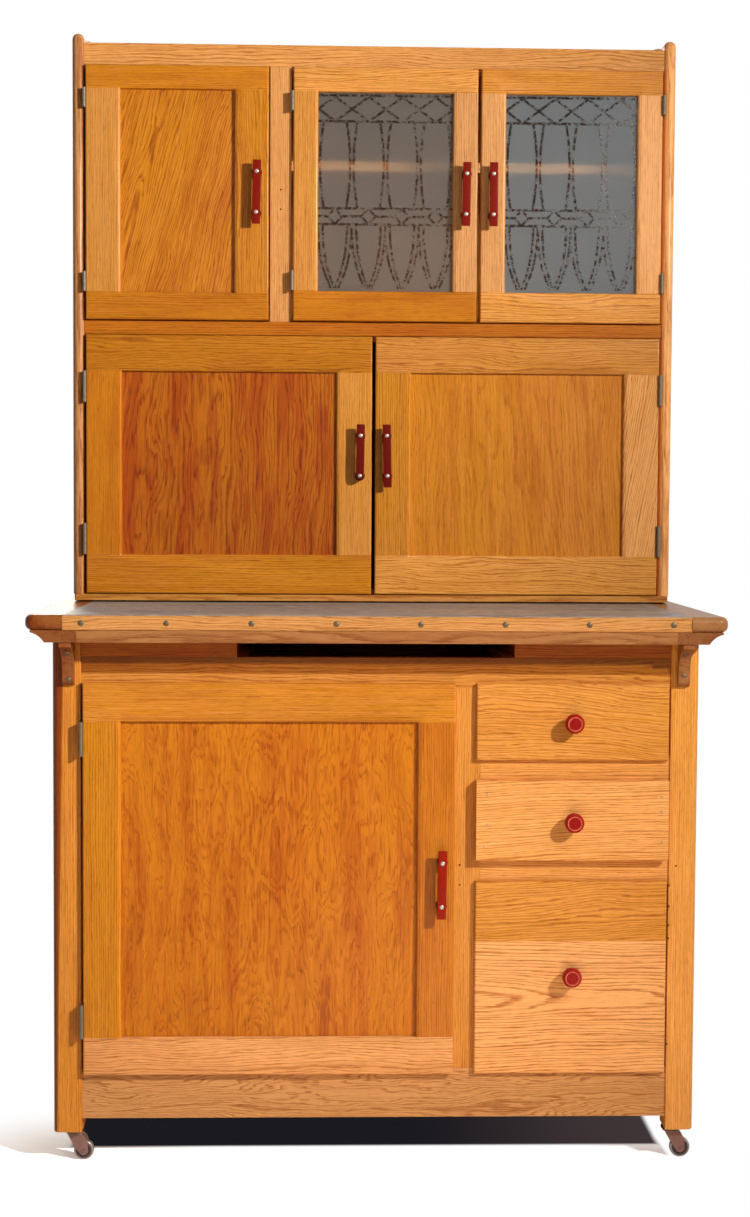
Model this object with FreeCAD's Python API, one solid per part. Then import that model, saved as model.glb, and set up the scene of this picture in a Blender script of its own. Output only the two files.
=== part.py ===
import FreeCAD, Part
import os

# Bakers cabinet of oak: a base with a cupboard and three drawers on swivel casters, a worktop
# that slides forward on it, and a shallower hutch that two steel irons hold clear of the
# worktop.  Millimetres.  X runs left to right, Y front to back, Z up.  The origin is on the
# floor under the middle of the cabinet.

V = FreeCAD.Vector

# ---------------------------------------------------------------- driving dimensions

# worktop
side_overhang = 33.2
worktop_depth = 630.0
worktop_height = 838.0
board_thickness = 23.0
sheet_thickness = 1.0
sheet_setback = 6.0
nosing_depth = 16.0
nosing_screws = 8
nosing_screw_spacing = 125.0
screw_head_radius = 4.5
screw_head_height = 1.6
end_moulding_width = 55.7
end_moulding_round = 9.0
end_moulding_corner = 14.0
underframe_thickness = 18.0
bed_moulding_reach = 7.7
bed_moulding_fillet = 3.0
bed_moulding_cove = 21.0
strip_setback = 4.0
strip_width = 22.0
worktop_travel = 250.0

# tongues and grooves that keep the worktop on the base
guide_width = 22.0
guide_height = 34.0
guide_drop = 3.0
groove_height = 10.0
groove_reach = 11.0
groove_drop = 12.0
batten_width = 21.0
batten_end_gap = 3.0
running_gap = 0.5
slide_gap = 0.3

# base carcass
base_width = 975.0
front_overhang = 50.0
joint_line = 0.05
leg_width = 43.0
leg_depth = 43.0
leg_round = 10.0
leg_arris = 3.0
base_clearance = 69.0
side_rail_thickness = 22.0
side_rail_inset = 3.0
side_top_rail_height = 80.0
side_bottom_rail_height = 100.0
thin_panel = 8.0
carcass_board = 16.0
back_panel = 6.0
panel_groove = 8.0
panel_fit = 0.2

# base face frame
base_frame_inset = 3.0
frame_thickness = 19.0
bottom_rail_height = 76.5
top_rail_height = 45.2
slot_height = 24.5
slot_width = 418.4
slot_centre = -2.1
mullion_width = 46.0
mullion_centre = 133.6
top_opening_height = 102.5
upper_divider_height = 44.0
middle_opening_height = 106.5
lower_divider_height = 47.5
guide_ledge = 14.0
guide_wall = 16.0
base_shelf_height = 436.0
base_shelf_depth = 400.0
shelf_cleat = 18.0

# base door and drawers
lip_overlap = 7.0
lip_thickness = 12.0
base_door_thickness = 22.0
base_door_stile = 57.0
base_door_top_rail = 59.0
base_door_bottom_rail = 57.5
drawer_front_thickness = 19.0
drawer_lip_thickness = 9.0
flat_front_proud = 16.0
drawer_side_thickness = 12.0
drawer_bottom_thickness = 6.0
drawer_bottom_lift = 10.0
drawer_length = 500.0
drawer_side_gap = 1.5
drawer_top_gap = 6.0
runner_width = 20.0
runner_height = 20.0
runner_guide_rise = 14.0
knob_diameter = 29.0
knob_projection = 25.0
knob_foot_radius = 9.0
knob_foot_height = 2.0
knob_neck_radius = 6.5
knob_neck_height = 10.0
knob_foot_taper = 2.0
knob_flare = 3.0
knob_face_round = 3.0
knob_edge_round = 2.0
knob_ring_radius = 10.0
knob_ring_width = 1.4
knob_ring_depth = 0.7
bottom_knob_lift = 5.0

# corbels under the worktop
corbel_width = 17.5
corbel_inset = 25.5
corbel_height = 67.0
corbel_top_reach = 44.0
corbel_foot_reach = 12.0
corbel_lip = 7.0
corbel_toe = 8.0
corbel_belly = 3.0
corbel_belly_lift = 5.0

# hutch
hutch_setback = 24.2
hutch_depth = 293.0
hutch_lift = 1.0
side_board = 19.0
side_nose_round = 9.2
side_front_height = 931.0
side_rear_height = 952.0
side_corner_round = 12.0
side_rise_start = 30.0
side_rise_end = 165.0
hutch_frame_inset = 6.0
sill_bottom = 2.6
sill_top = 13.0
sill_overhang = 2.0
mid_rail_bottom = 442.5
mid_rail_top = 464.5
hutch_rail_bottom = 881.0
hutch_rail_top = 916.0
hutch_stile_width = 35.0
hutch_stile_centre = -155.0
hutch_top_drop = 4.0
hutch_top_thickness = 12.0
deck_thickness = 18.0
shelf_thickness = 16.0
shelf_height = 727.0
shelf_setback = 60.0
stop_size = 9.0
stop_gap = 0.5

# hutch doors
door_thickness = 19.0
door_proud = 3.0
door_gap = 1.5
stile_gap = 2.0
upper_meeting = 172.0
lower_meeting = 0.0
meeting_gap = 5.5
panel_recess = 8.0
door_panel = 6.0
glass_thickness = 3.0
panel_door_stile = 57.0
panel_door_top_rail = 38.5
panel_door_bottom_rail = 45.0
glass_door_stile = 41.0
glass_door_top_rail = 40.0
glass_door_bottom_rail = 49.5
lower_door_stile = 59.0
lower_door_top_rail = 60.0
lower_door_bottom_rail = 65.0
edge_round = 3.0
sticking_width = 5.0
sticking_step = 0.8
sticking_round = 4.2

# butt hinges
hinge_gap = 3.0
leaf_thickness = 1.2
leaf_width = 22.0
knuckle_radius = 2.9
knuckle_stand_off = 3.3
knuckle_air = 0.3
pin_radius = 1.1
pin_clearance = 0.06
small_hinge = 32.0
large_hinge = 51.0

# bar pulls
pull_length = 103.5
pull_width = 13.5
pull_thickness = 6.0
pull_spacing = 66.0
pull_post_length = 15.0
pull_post_diameter = 16.0
pull_edge_distance = 19.5
lower_pull_lift = 16.0
base_pull_drop = 4.0

# rear irons that carry the hutch
iron_thickness = 4.0
iron_clearance = 1.0
iron_width = 40.0
iron_inset = 26.5
iron_foot = 190.0
iron_head = 210.0

# casters
caster_height = 48.0
caster_stem_inset = 30.0
caster_stem_setback = 20.0
caster_trail = 13.5
wheel_diameter = 31.0
wheel_width = 10.0
wheel_edge = 3.0
wheel_dish = 1.5
hub_radius = 5.0
axle_radius = 2.0
axle_clearance = 0.08
fork_thickness = 2.0
fork_side_gap = 0.8
fork_eye_radius = 7.0
fork_cap_radius = 13.0
fork_cap_thickness = 3.0
fork_crown = 2.0
fork_sweep = 1.0
rivet_height = 1.0
plate_radius = 15.5
plate_thickness = 3.0
stem_radius = 4.0
stem_length = 38.0
stem_end_gap = 1.0
stem_clearance = 0.08
socket_wall = 2.0
swivel_gap = 0.3

# ---------------------------------------------------------------- derived places

worktop_width = base_width + 2 * side_overhang
hutch_width = worktop_width - 2 * hutch_setback
corbel_centre = base_width / 2 - corbel_inset
caster_stem_centre = base_width / 2 - caster_stem_inset
iron_centre = hutch_width / 2 - iron_inset
overall_depth = worktop_depth + iron_clearance + iron_thickness
front = -overall_depth / 2
back = overall_depth / 2
rear_plane = back - iron_thickness
worktop_rear = front + worktop_depth
underside = worktop_height - board_thickness
frame_underside = underside - underframe_thickness

leg_front = front + front_overhang
leg_inner = base_width / 2 - leg_width
front_caster_y = leg_front + caster_stem_setback
rear_caster_y = rear_plane - caster_stem_setback
base_top = frame_underside - slide_gap
base_face = leg_front + base_frame_inset
base_inside = base_face + frame_thickness
rear_rail_face = rear_plane - side_rail_thickness
side_inner = base_width / 2 - side_rail_inset - side_rail_thickness

slot_floor = base_top - slot_height
opening_top = slot_floor - top_rail_height
opening_floor = base_clearance + bottom_rail_height
mullion_left = mullion_centre - mullion_width / 2
mullion_right = mullion_centre + mullion_width / 2
partition_left = mullion_centre - carcass_board / 2
partition_right = mullion_centre + carcass_board / 2
upper_divider_top = opening_top - top_opening_height
upper_divider_bottom = upper_divider_top - upper_divider_height
lower_divider_top = upper_divider_bottom - middle_opening_height
lower_divider_bottom = lower_divider_top - lower_divider_height
base_door_front = base_face - lip_thickness
guide_top = frame_underside - guide_drop
guide_bottom = guide_top - guide_height
groove_top = guide_top - groove_drop
cap_top = caster_height - plate_thickness - swivel_gap
cap_low = cap_top - fork_cap_thickness
slot_left = slot_centre - slot_width / 2
slot_right = slot_centre + slot_width / 2

hutch_inner = hutch_width / 2 - side_board
hutch_front = rear_plane - hutch_depth
hutch_face = hutch_front + hutch_frame_inset
hutch_inside = hutch_face + frame_thickness
hutch_back_face = rear_plane - back_panel
door_front = hutch_front - door_proud
stile_left = hutch_stile_centre - hutch_stile_width / 2
stile_right = hutch_stile_centre + hutch_stile_width / 2

# how far the middle of a rounded corner stands inside both sides, over its radius
corner_inset = 1 - 0.5 ** 0.5

# how far a cutting shape runs past the faces it leaves by
overcut = 1.0


def over(height):
    """Height above the floor of a hutch level that is measured from the work surface."""
    return worktop_height + height


# ---------------------------------------------------------------- shape helpers

def block(x, y, z):
    """Box between two limits on each axis."""
    return Part.makeBox(x[1] - x[0], y[1] - y[0], z[1] - z[0], V(x[0], y[0], z[0]))


def rod(radius, length, start, direction):
    return Part.makeCylinder(radius, length, V(*start), V(*direction))


def mirrored(shape):
    """The same piece on the other side of the cabinet's middle plane."""
    return shape.mirror(V(0, 0, 0), V(1, 0, 0))


def edge_at(shape, point):
    """The edge that passes nearest to a point."""
    vertex = Part.Vertex(V(*point))
    return min(shape.Edges, key=lambda edge: edge.distToShape(vertex)[0])


def rounded(shape, radius, *points):
    """Round the edges that pass through the given points."""
    return shape.makeFillet(radius, [edge_at(shape, point) for point in points])


def export(name, *solids):
    shape = solids[0] if len(solids) == 1 else Part.makeCompound(list(solids))
    shape.exportStep("parts/" + name + ".step")


# ---------------------------------------------------------------- base carcass

def leg(y0, caster_y, rounded_corner_y):
    """Left post, with its outer corner rounded and a hole bored for the caster socket."""
    x = (-base_width / 2, -leg_inner)
    middle = (caster_height + base_top) / 2
    inner_corner_y = y0 if rounded_corner_y == y0 else y0 + leg_depth
    post = block(x, (y0, y0 + leg_depth), (caster_height, base_top))
    post = rounded(post, leg_round, (x[0], rounded_corner_y, middle))
    post = rounded(post, leg_arris, (x[1], inner_corner_y, middle))
    bore_radius = stem_radius + stem_clearance + socket_wall
    start = (-caster_stem_centre, caster_y, caster_height)
    return post.cut(rod(bore_radius, stem_length + socket_wall, start, (0, 0, 1)))


def left_side():
    """Two posts, two rails and the thin panel held in their grooves."""
    front_leg = leg(leg_front, front_caster_y, leg_front)
    rear_leg = leg(rear_plane - leg_depth, rear_caster_y, rear_plane)
    x = (-side_inner - side_rail_thickness, -side_inner)
    y = (leg_front + leg_depth, rear_plane - leg_depth)
    top_rail = block(x, y, (base_top - side_top_rail_height, base_top))
    bottom_rail = block(x, y, (base_clearance, base_clearance + side_bottom_rail_height))
    middle = (x[0] + x[1]) / 2
    panel_x = (middle - thin_panel / 2, middle + thin_panel / 2)
    panel_z = (base_clearance + side_bottom_rail_height, base_top - side_top_rail_height)
    groove = block((panel_x[0] - panel_fit, panel_x[1] + panel_fit),
                   (y[0] - panel_groove, y[1] + panel_groove),
                   (panel_z[0] - panel_groove, panel_z[1] + panel_groove))
    reach = panel_groove - 2 * panel_fit
    panel = block(panel_x, (y[0] - reach, y[1] + reach), (panel_z[0] - reach, panel_z[1] + reach))
    frame = [piece.cut(groove) for piece in (front_leg, rear_leg, top_rail, bottom_rail)]
    return frame + [panel]


def base_face_frame():
    y = (base_face, base_inside)
    fit = (-leg_inner, leg_inner)
    bottom_rail = block(fit, y, (base_clearance, opening_floor))
    top_rail = block(fit, y, (opening_top, slot_floor))
    left_filler = block((-leg_inner, slot_left), y, (slot_floor, base_top))
    right_filler = block((slot_right, leg_inner), y, (slot_floor, base_top))
    mullion = block((mullion_left, mullion_right), y, (opening_floor, opening_top))
    side = (mullion_right, leg_inner)
    upper_divider = block(side, y, (upper_divider_bottom, upper_divider_top))
    lower_divider = block(side, y, (lower_divider_bottom, lower_divider_top))
    return [bottom_rail, top_rail, left_filler, right_filler, mullion, upper_divider,
            lower_divider]


def base_back():
    """Two rails between the rear posts with a plywood panel in their grooves."""
    x = (-leg_inner, leg_inner)
    y = (rear_rail_face, rear_plane)
    middle = (y[0] + y[1]) / 2
    panel_y = (middle - back_panel / 2, middle + back_panel / 2)
    top_rail = block(x, y, (opening_top, base_top))
    bottom_rail = block(x, y, (base_clearance, opening_floor))
    groove = block(x, (panel_y[0] - panel_fit, panel_y[1] + panel_fit),
                   (opening_floor - panel_groove, opening_top + panel_groove))
    reach = panel_groove - 2 * panel_fit
    panel = block(x, panel_y, (opening_floor - reach, opening_top + reach))
    return [top_rail.cut(groove), bottom_rail.cut(groove), panel]


def base_partition():
    top = min(guide_bottom, opening_top)
    return block((partition_left, partition_right), (base_inside, rear_rail_face),
                 (opening_floor, top))


def leg_notches(z, grow=0.0):
    """Room for the four posts in a board that runs out to the side rails."""
    x = (leg_inner - grow, base_width / 2)
    front_y = (leg_front, leg_front + leg_depth + grow)
    rear_y = (rear_plane - leg_depth - grow, rear_plane)
    posts = []
    for y in (front_y, rear_y):
        right = block(x, y, z)
        posts += [right, mirrored(right)]
    return Part.makeCompound(posts)


def base_shelves():
    """Floor board, half-depth shelf of the cupboard and the cleats that carry the shelf."""
    floor_z = (opening_floor - carcass_board, opening_floor)
    floor = block((-side_inner, side_inner), (base_inside, rear_rail_face), floor_z)
    floor = floor.cut(leg_notches(floor_z))
    shelf_z = (base_shelf_height - carcass_board, base_shelf_height)
    shelf_y = (rear_rail_face - base_shelf_depth, rear_rail_face)
    shelf = block((-side_inner, partition_left), shelf_y, shelf_z).cut(leg_notches(shelf_z))
    cleat_z = (shelf_z[0] - shelf_cleat, shelf_z[0])
    side_cleat = block((-side_inner, -leg_inner),
                       (leg_front + leg_depth, rear_plane - leg_depth), cleat_z)
    partition_cleat = block((partition_left - shelf_cleat, partition_left), shelf_y, cleat_z)
    return [floor, shelf, side_cleat, partition_cleat]


def drawer_runners(floor):
    """Runner and side guide on each side of one drawer; the board is its own runner below."""
    pieces = []
    length = (base_inside, rear_rail_face)
    between_legs = (leg_front + leg_depth, rear_plane - leg_depth)
    drawer_left = mullion_right + drawer_side_gap
    drawer_right = leg_inner - hinge_gap
    runner_z = (floor - runner_height, floor)
    guide_z = (floor, floor + runner_guide_rise)
    if floor > opening_floor:
        pieces.append(block((partition_right, drawer_left + runner_width), length, runner_z))
        pieces.append(block((drawer_right - runner_width, leg_inner), length, runner_z))
        guide_z = (floor - runner_height, floor + runner_guide_rise)
    right_guide_x = (leg_inner, side_inner)
    left_guide_x = (partition_right, drawer_left - running_gap)
    pieces.append(block(left_guide_x, length, (floor, floor + runner_guide_rise)))
    pieces.append(block(right_guide_x, between_legs, guide_z))
    return pieces


def dough_board_guides():
    """Ledge and fence on each side of the slot, which a pull-out dough board slides on."""
    y = (base_inside, rear_rail_face)
    ledge_z = (slot_floor - guide_ledge, slot_floor)
    fence_z = (slot_floor, base_top - slide_gap)
    pieces = []
    for edge, side in ((slot_left, -1), (slot_right, 1)):
        ledge_x = sorted((edge + side * guide_wall, edge - side * guide_ledge))
        fence_x = sorted((edge + side * guide_wall, edge))
        pieces.append(block(ledge_x, y, ledge_z))
        pieces.append(block(fence_x, y, fence_z))
    return pieces


def worktop_guide():
    """Grooved rail on the left posts that the worktop's tongue runs in."""
    y = (base_inside, rear_rail_face)
    x = (-leg_inner, -leg_inner + guide_width)
    rail = block(x, y, (guide_bottom, guide_top))
    groove = block((x[1] - groove_reach, x[1]), y, (groove_top - groove_height, groove_top))
    return rail.cut(groove)


def corbel():
    """Left bracket: a cove that sweeps from under the worktop down to a thin foot."""
    x = -corbel_centre - corbel_width / 2
    top = base_top
    foot = base_top - corbel_height
    nose = V(x, leg_front - corbel_top_reach, top - corbel_lip)
    foot_corner = V(x, leg_front - corbel_foot_reach, foot + corbel_toe)
    belly = V(x, leg_front - corbel_foot_reach - corbel_belly,
              (nose.z + foot_corner.z) / 2 + corbel_belly_lift)
    edges = [
        Part.makeLine(V(x, leg_front, foot), V(x, leg_front, top)),
        Part.makeLine(V(x, leg_front, top), V(x, nose.y, top)),
        Part.makeLine(V(x, nose.y, top), nose),
        Part.Arc(nose, belly, foot_corner).toShape(),
        Part.Arc(foot_corner, V(x, leg_front - corbel_foot_reach * 0.6, foot + corbel_toe / 4),
                 V(x, leg_front, foot)).toShape(),
    ]
    return Part.Face(Part.Wire(edges)).extrude(V(corbel_width, 0, 0))


# ---------------------------------------------------------------- worktop

board_half = worktop_width / 2 - end_moulding_width


def end_moulding():
    """Left breadboard end, bullnosed round its front, its corner and its outer side."""
    x = (-worktop_width / 2, -board_half)
    z = (underside, worktop_height)
    piece = block(x, (front, worktop_rear), z)
    middle_y = (front + worktop_rear) / 2
    piece = rounded(piece, end_moulding_corner, (x[0], front, (z[0] + z[1]) / 2))
    corner = end_moulding_corner * corner_inset
    nose = []
    for level in z:
        nose += [(x[0], middle_y, level), (x[0] + corner, front + corner, level),
                 (x[1] - end_moulding_corner, front, level)]
    return rounded(piece, end_moulding_round, *nose)


def screw_head(x, face, z):
    """Round head of a screw driven in from the front."""
    head = rod(screw_head_radius, screw_head_height, (x, face, z), (0, -1, 0))
    rim = (x + screw_head_radius, face - screw_head_height, z)
    return rounded(head, screw_head_height * 0.9, rim)


def worktop_nosing():
    """Front strip of the worktop and the row of screws that holds it."""
    y = (front + screw_head_height, front + nosing_depth)
    z = (underside, worktop_height - sheet_thickness)
    strip = block((-board_half, board_half), y, z)
    strip = rounded(strip, edge_round, (0, y[0], z[1]), (0, y[0], z[0]))
    pieces = [strip]
    for i in range(nosing_screws):
        x = (i - (nosing_screws - 1) / 2) * nosing_screw_spacing
        pieces.append(screw_head(x, y[0], (z[0] + z[1]) / 2))
    return pieces


def bed_moulding():
    """Left side cleat under the worktop, coved on its outer face."""
    outer = -worktop_width / 2 + bed_moulding_reach
    inner = -leg_inner
    y = front + strip_setback
    upper = V(outer, y, underside)
    step = V(outer, y, underside - bed_moulding_fillet)
    lower = V(outer + bed_moulding_cove, y, frame_underside)
    bend = V(outer + bed_moulding_cove * 0.62, y, underside - underframe_thickness / 2)
    edges = [
        Part.makeLine(V(inner, y, frame_underside), V(inner, y, underside)),
        Part.makeLine(V(inner, y, underside), upper),
        Part.makeLine(upper, step),
        Part.Arc(step, bend, lower).toShape(),
        Part.makeLine(lower, V(inner, y, frame_underside)),
    ]
    return Part.Face(Part.Wire(edges)).extrude(V(0, worktop_rear - y, 0))


def hook_batten():
    """Left batten under the worktop; its tongue hangs in the groove of the guide rail."""
    x1 = -leg_inner + guide_width + running_gap
    x = (x1, x1 + batten_width)
    y = (base_inside + batten_end_gap + worktop_travel, rear_rail_face - batten_end_gap)
    tongue_z = (groove_top - groove_height + running_gap, groove_top - running_gap)
    web = block(x, y, (tongue_z[0] - running_gap, underside))
    tongue = block((x1 - groove_reach, x1), y, tongue_z)
    return web.fuse(tongue).removeSplitter()


def worktop_underframe():
    cleat = bed_moulding()
    batten = hook_batten()
    strip_x = (-leg_inner, leg_inner)
    z = (frame_underside, underside)
    front_y = front + strip_setback
    front_strip = block(strip_x, (front_y, front_y + strip_width), z)
    rear_strip = block(strip_x, (worktop_rear - strip_width, worktop_rear), z)
    rear_strip = rear_strip.cut(batten).cut(mirrored(batten))
    return [cleat, mirrored(cleat), front_strip, rear_strip, batten, mirrored(batten)]


# ---------------------------------------------------------------- framed doors and drawers

def sticking(x, z, face):
    """The moulding planed away round a door's opening: a small step, then a quarter round."""
    wide_x = (x[0] - sticking_width, x[1] + sticking_width)
    wide_z = (z[0] - sticking_width, z[1] + sticking_width)
    step = face + sticking_step
    foot = step + sticking_round
    bead = block((wide_x[0] - overcut, wide_x[1] + overcut), (step, foot + overcut),
                 (wide_z[0] - overcut, wide_z[1] + overcut))
    bead = bead.cut(block(x, (step - overcut, foot + 2 * overcut), z))
    middle_x = (x[0] + x[1]) / 2
    middle_z = (z[0] + z[1]) / 2
    bead = rounded(bead, sticking_round, (x[0], step, middle_z), (x[1], step, middle_z),
                   (middle_x, step, z[0]), (middle_x, step, z[1]))
    return block(wide_x, (face - overcut, foot), wide_z).cut(bead)


def framed_door(x, z, face, thickness, widths, panel_thickness):
    """Rails across the full width, stiles tenoned between them, panel in the grooves.

    widths is (stile, top rail, bottom rail).  Returns the four frame pieces and the panel.
    """
    stile, top, bottom = widths
    y = (face, face + thickness)
    rail_edges = (z[0] + bottom, z[1] - top)
    stile_z = (rail_edges[0] + joint_line, rail_edges[1] - joint_line)
    opening_x = (x[0] + stile, x[1] - stile)
    groove_y = (face + panel_recess - panel_fit, face + panel_recess + panel_thickness + panel_fit)
    groove_z = (stile_z[0] - panel_groove, stile_z[1] + panel_groove)
    middle_x = (x[0] + x[1]) / 2
    middle_z = (z[0] + z[1]) / 2

    rail_groove = block((x[0] - overcut, x[1] + overcut), groove_y, groove_z)
    stile_groove = block((opening_x[0] - panel_groove, opening_x[1] + panel_groove), groove_y,
                         (groove_z[0] - overcut, groove_z[1] + overcut))
    frame = []
    for rail_z, outer_z in (((z[0], rail_edges[0]), z[0]), ((rail_edges[1], z[1]), z[1])):
        rail = block(x, y, rail_z)
        end_z = (rail_z[0] + rail_z[1]) / 2
        rail = rounded(rail, edge_round, (middle_x, face, outer_z), (x[0], face, end_z),
                       (x[1], face, end_z))
        frame.append(rail.cut(rail_groove))
    tenon_y = (groove_y[0] + panel_fit, groove_y[1] - panel_fit)
    tenon_z = (groove_z[0] + panel_fit, groove_z[1] - panel_fit)
    for stile_x, outer_x in (((x[0], opening_x[0]), x[0]), ((opening_x[1], x[1]), x[1])):
        post = block(stile_x, y, stile_z)
        post = rounded(post, edge_round, (outer_x, face, middle_z))
        post = post.fuse(block(stile_x, tenon_y, tenon_z)).removeSplitter()
        frame.append(post.cut(stile_groove))
    moulding = sticking(opening_x, rail_edges, face)
    frame = [piece.cut(moulding) for piece in frame]

    reach = panel_groove - 2 * panel_fit
    panel = block((opening_x[0] - reach, opening_x[1] + reach),
                  (face + panel_recess, face + panel_recess + panel_thickness),
                  (stile_z[0] - reach, stile_z[1] + reach))
    return frame, panel


def rabbeted(solids, x, z, face, lip, thickness):
    """Cut the back edge away so that only the lip laps over the frame."""
    y = (face + lip, face + thickness + overcut)
    margin = 2 * lip_overlap
    outside = block((x[0] - margin, x[1] + margin), y, (z[0] - margin, z[1] + margin))
    outside = outside.cut(block(x, y, z))
    return [solid.cut(outside) for solid in solids]


def bar_pull(x, z, face):
    """Flat bar on two round posts."""
    bar_y = face - pull_post_length
    bar = block((x - pull_width / 2, x + pull_width / 2), (bar_y - pull_thickness, bar_y),
                (z - pull_length / 2, z + pull_length / 2))
    pieces = [bar]
    for sign in (1, -1):
        start = (x, face, z + sign * pull_spacing / 2)
        pieces.append(rod(pull_post_diameter / 2, pull_post_length, start, (0, -1, 0)))
    return pieces


def hinge_leaves(door_edge, face, z, height, side):
    """One butt hinge.  side is 1 where the door lies to the right of its knuckle, -1 to the left.

    Returns the leaf that stays, with the pin, and the leaf on the door.
    """
    axis_x = door_edge - side * hinge_gap / 2
    axis_y = face - knuckle_stand_off
    low = z - height / 2
    third = height / 3
    plate_y = (axis_y + knuckle_radius + knuckle_air, axis_y + knuckle_radius + leaf_width)
    strap_y = (axis_y, plate_y[0])

    def plate(edge, direction, y, z_limits):
        x = sorted((edge, edge + direction * leaf_thickness))
        return block(x, y, z_limits)

    post_edge = door_edge - side * hinge_gap
    fixed = plate(post_edge, side, plate_y, (low, low + height))
    for start in (low, low + 2 * third):
        fixed = fixed.fuse(plate(post_edge, side, strap_y, (start, start + third)))
        fixed = fixed.fuse(rod(knuckle_radius, third, (axis_x, axis_y, start), (0, 0, 1)))
    fixed = fixed.fuse(rod(pin_radius, height, (axis_x, axis_y, low), (0, 0, 1)))

    middle = (low + third + knuckle_air, low + 2 * third - knuckle_air)
    moving = plate(door_edge, -side, plate_y, (low, low + height))
    moving = moving.fuse(plate(door_edge, -side, strap_y, middle))
    moving = moving.fuse(rod(knuckle_radius, middle[1] - middle[0],
                             (axis_x, axis_y, middle[0]), (0, 0, 1)))
    moving = moving.cut(rod(pin_radius + pin_clearance, height, (axis_x, axis_y, low), (0, 0, 1)))
    return fixed.removeSplitter(), moving.removeSplitter()


def drawer(floor, top, lipped):
    """Front, two sides, back and bottom.  The middle drawer has a thicker flat front."""
    x = (mullion_right - lip_overlap, leg_inner - hinge_gap)
    z = (floor - lip_overlap, top + lip_overlap)
    middle_x = (x[0] + x[1]) / 2
    middle_z = (z[0] + z[1]) / 2
    body_x = (mullion_right + drawer_side_gap, x[1])
    body_z = (floor + running_gap, top - drawer_top_gap)
    if lipped:
        face = base_face - drawer_lip_thickness
        panel = block(x, (face, face + drawer_front_thickness), z)
        panel = rounded(panel, edge_round, (middle_x, face, z[0]), (middle_x, face, z[1]),
                        (x[0], face, middle_z), (x[1], face, middle_z))
        panel = rabbeted([panel], body_x, body_z, face, drawer_lip_thickness,
                         drawer_front_thickness)[0]
        body_y0 = face + drawer_front_thickness
    else:
        face = base_face - flat_front_proud
        panel = block(x, (face, base_face), z)
        body_y0 = base_face
    body_y1 = base_face + drawer_length
    sides = [block((body_x[0], body_x[0] + drawer_side_thickness), (body_y0, body_y1), body_z),
             block((body_x[1] - drawer_side_thickness, body_x[1]), (body_y0, body_y1), body_z)]
    inner_x = (body_x[0] + drawer_side_thickness, body_x[1] - drawer_side_thickness)
    bottom_z = (body_z[0] + drawer_bottom_lift,
                body_z[0] + drawer_bottom_lift + drawer_bottom_thickness)
    rear = block(inner_x, (body_y1 - 2 * drawer_side_thickness, body_y1 - drawer_side_thickness),
                 (bottom_z[1], body_z[1]))
    groove_depth = drawer_side_thickness / 2
    bottom = block((inner_x[0] - groove_depth, inner_x[1] + groove_depth), (body_y0, body_y1),
                   bottom_z)
    sides = [side.cut(bottom) for side in sides]
    return [panel] + sides + [rear, bottom], face, (middle_x, middle_z)


def knob(x, z, face):
    """Turned round knob with a shallow ring groove in its face."""
    radius = knob_diameter / 2
    profile = [(0, 0), (knob_foot_radius, 0), (knob_foot_radius, knob_foot_height),
               (knob_neck_radius, knob_foot_height + knob_foot_taper),
               (knob_neck_radius, knob_neck_height), (radius, knob_neck_height + knob_flare),
               (radius, knob_projection - knob_face_round),
               (radius - knob_face_round, knob_projection), (0, knob_projection)]
    points = [V(r, -h, 0) for r, h in profile]
    turned = Part.Face(Part.makePolygon(points + points[:1])).revolve(V(0, 0, 0), V(0, 1, 0), 360)
    shoulder = (radius, -(knob_neck_height + knob_flare), 0)
    brow = (radius, -(knob_projection - knob_face_round), 0)
    turned = rounded(turned, knob_edge_round, shoulder, brow)
    ring = rod(knob_ring_radius, knob_ring_depth, (0, -knob_projection, 0), (0, 1, 0))
    core = rod(knob_ring_radius - knob_ring_width, knob_ring_depth, (0, -knob_projection, 0),
               (0, 1, 0))
    return turned.cut(ring.cut(core)).translated(V(x, face, z))


# ---------------------------------------------------------------- hutch

def hutch_side():
    """Left side board: it rises to the back in an ogee and is nosed along its front and top."""
    x = -hutch_width / 2
    low = over(hutch_lift)
    front_top = over(side_front_height)
    rear_top = over(side_rear_height)
    rise = (rear_top - front_top) / 2
    run = (side_rise_end - side_rise_start) / 2
    ease = 0.25

    def at(y, z):
        return V(x, hutch_front + y, z)

    corner = side_corner_round
    middle_in = corner * corner_inset
    middle = (side_rise_start + side_rise_end) / 2
    edges = [
        Part.makeLine(at(0, low), at(0, front_top - corner)),
        Part.Arc(at(0, front_top - corner), at(middle_in, front_top - middle_in),
                 at(corner, front_top)).toShape(),
        Part.makeLine(at(corner, front_top), at(side_rise_start, front_top)),
        Part.Arc(at(side_rise_start, front_top), at(side_rise_start + run / 2,
                 front_top + rise * ease), at(middle, front_top + rise)).toShape(),
        Part.Arc(at(middle, front_top + rise), at(side_rise_end - run / 2,
                 rear_top - rise * ease), at(side_rise_end, rear_top)).toShape(),
        Part.makeLine(at(side_rise_end, rear_top), at(hutch_depth, rear_top)),
        Part.makeLine(at(hutch_depth, rear_top), at(hutch_depth, low)),
        Part.makeLine(at(hutch_depth, low), at(0, low)),
    ]
    board = Part.Face(Part.Wire(edges)).extrude(V(side_board, 0, 0))
    nose = []
    for side_x in (x, x + side_board):
        level = (low + front_top) / 2
        points = [(0, level), (middle_in, front_top - middle_in),
                  ((corner + side_rise_start) / 2, front_top),
                  (side_rise_start + run / 2, front_top + rise * ease),
                  (side_rise_end - run / 2, rear_top - rise * ease),
                  ((side_rise_end + hutch_depth) / 2, rear_top)]
        nose += [(side_x, hutch_front + y, z) for y, z in points]
    board = rounded(board, side_nose_round, *nose)
    sill_room = block((x - overcut, x + side_board + overcut),
                      (hutch_front - overcut, hutch_inside), (low - overcut, over(sill_top)))
    return board.cut(sill_room)


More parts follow.
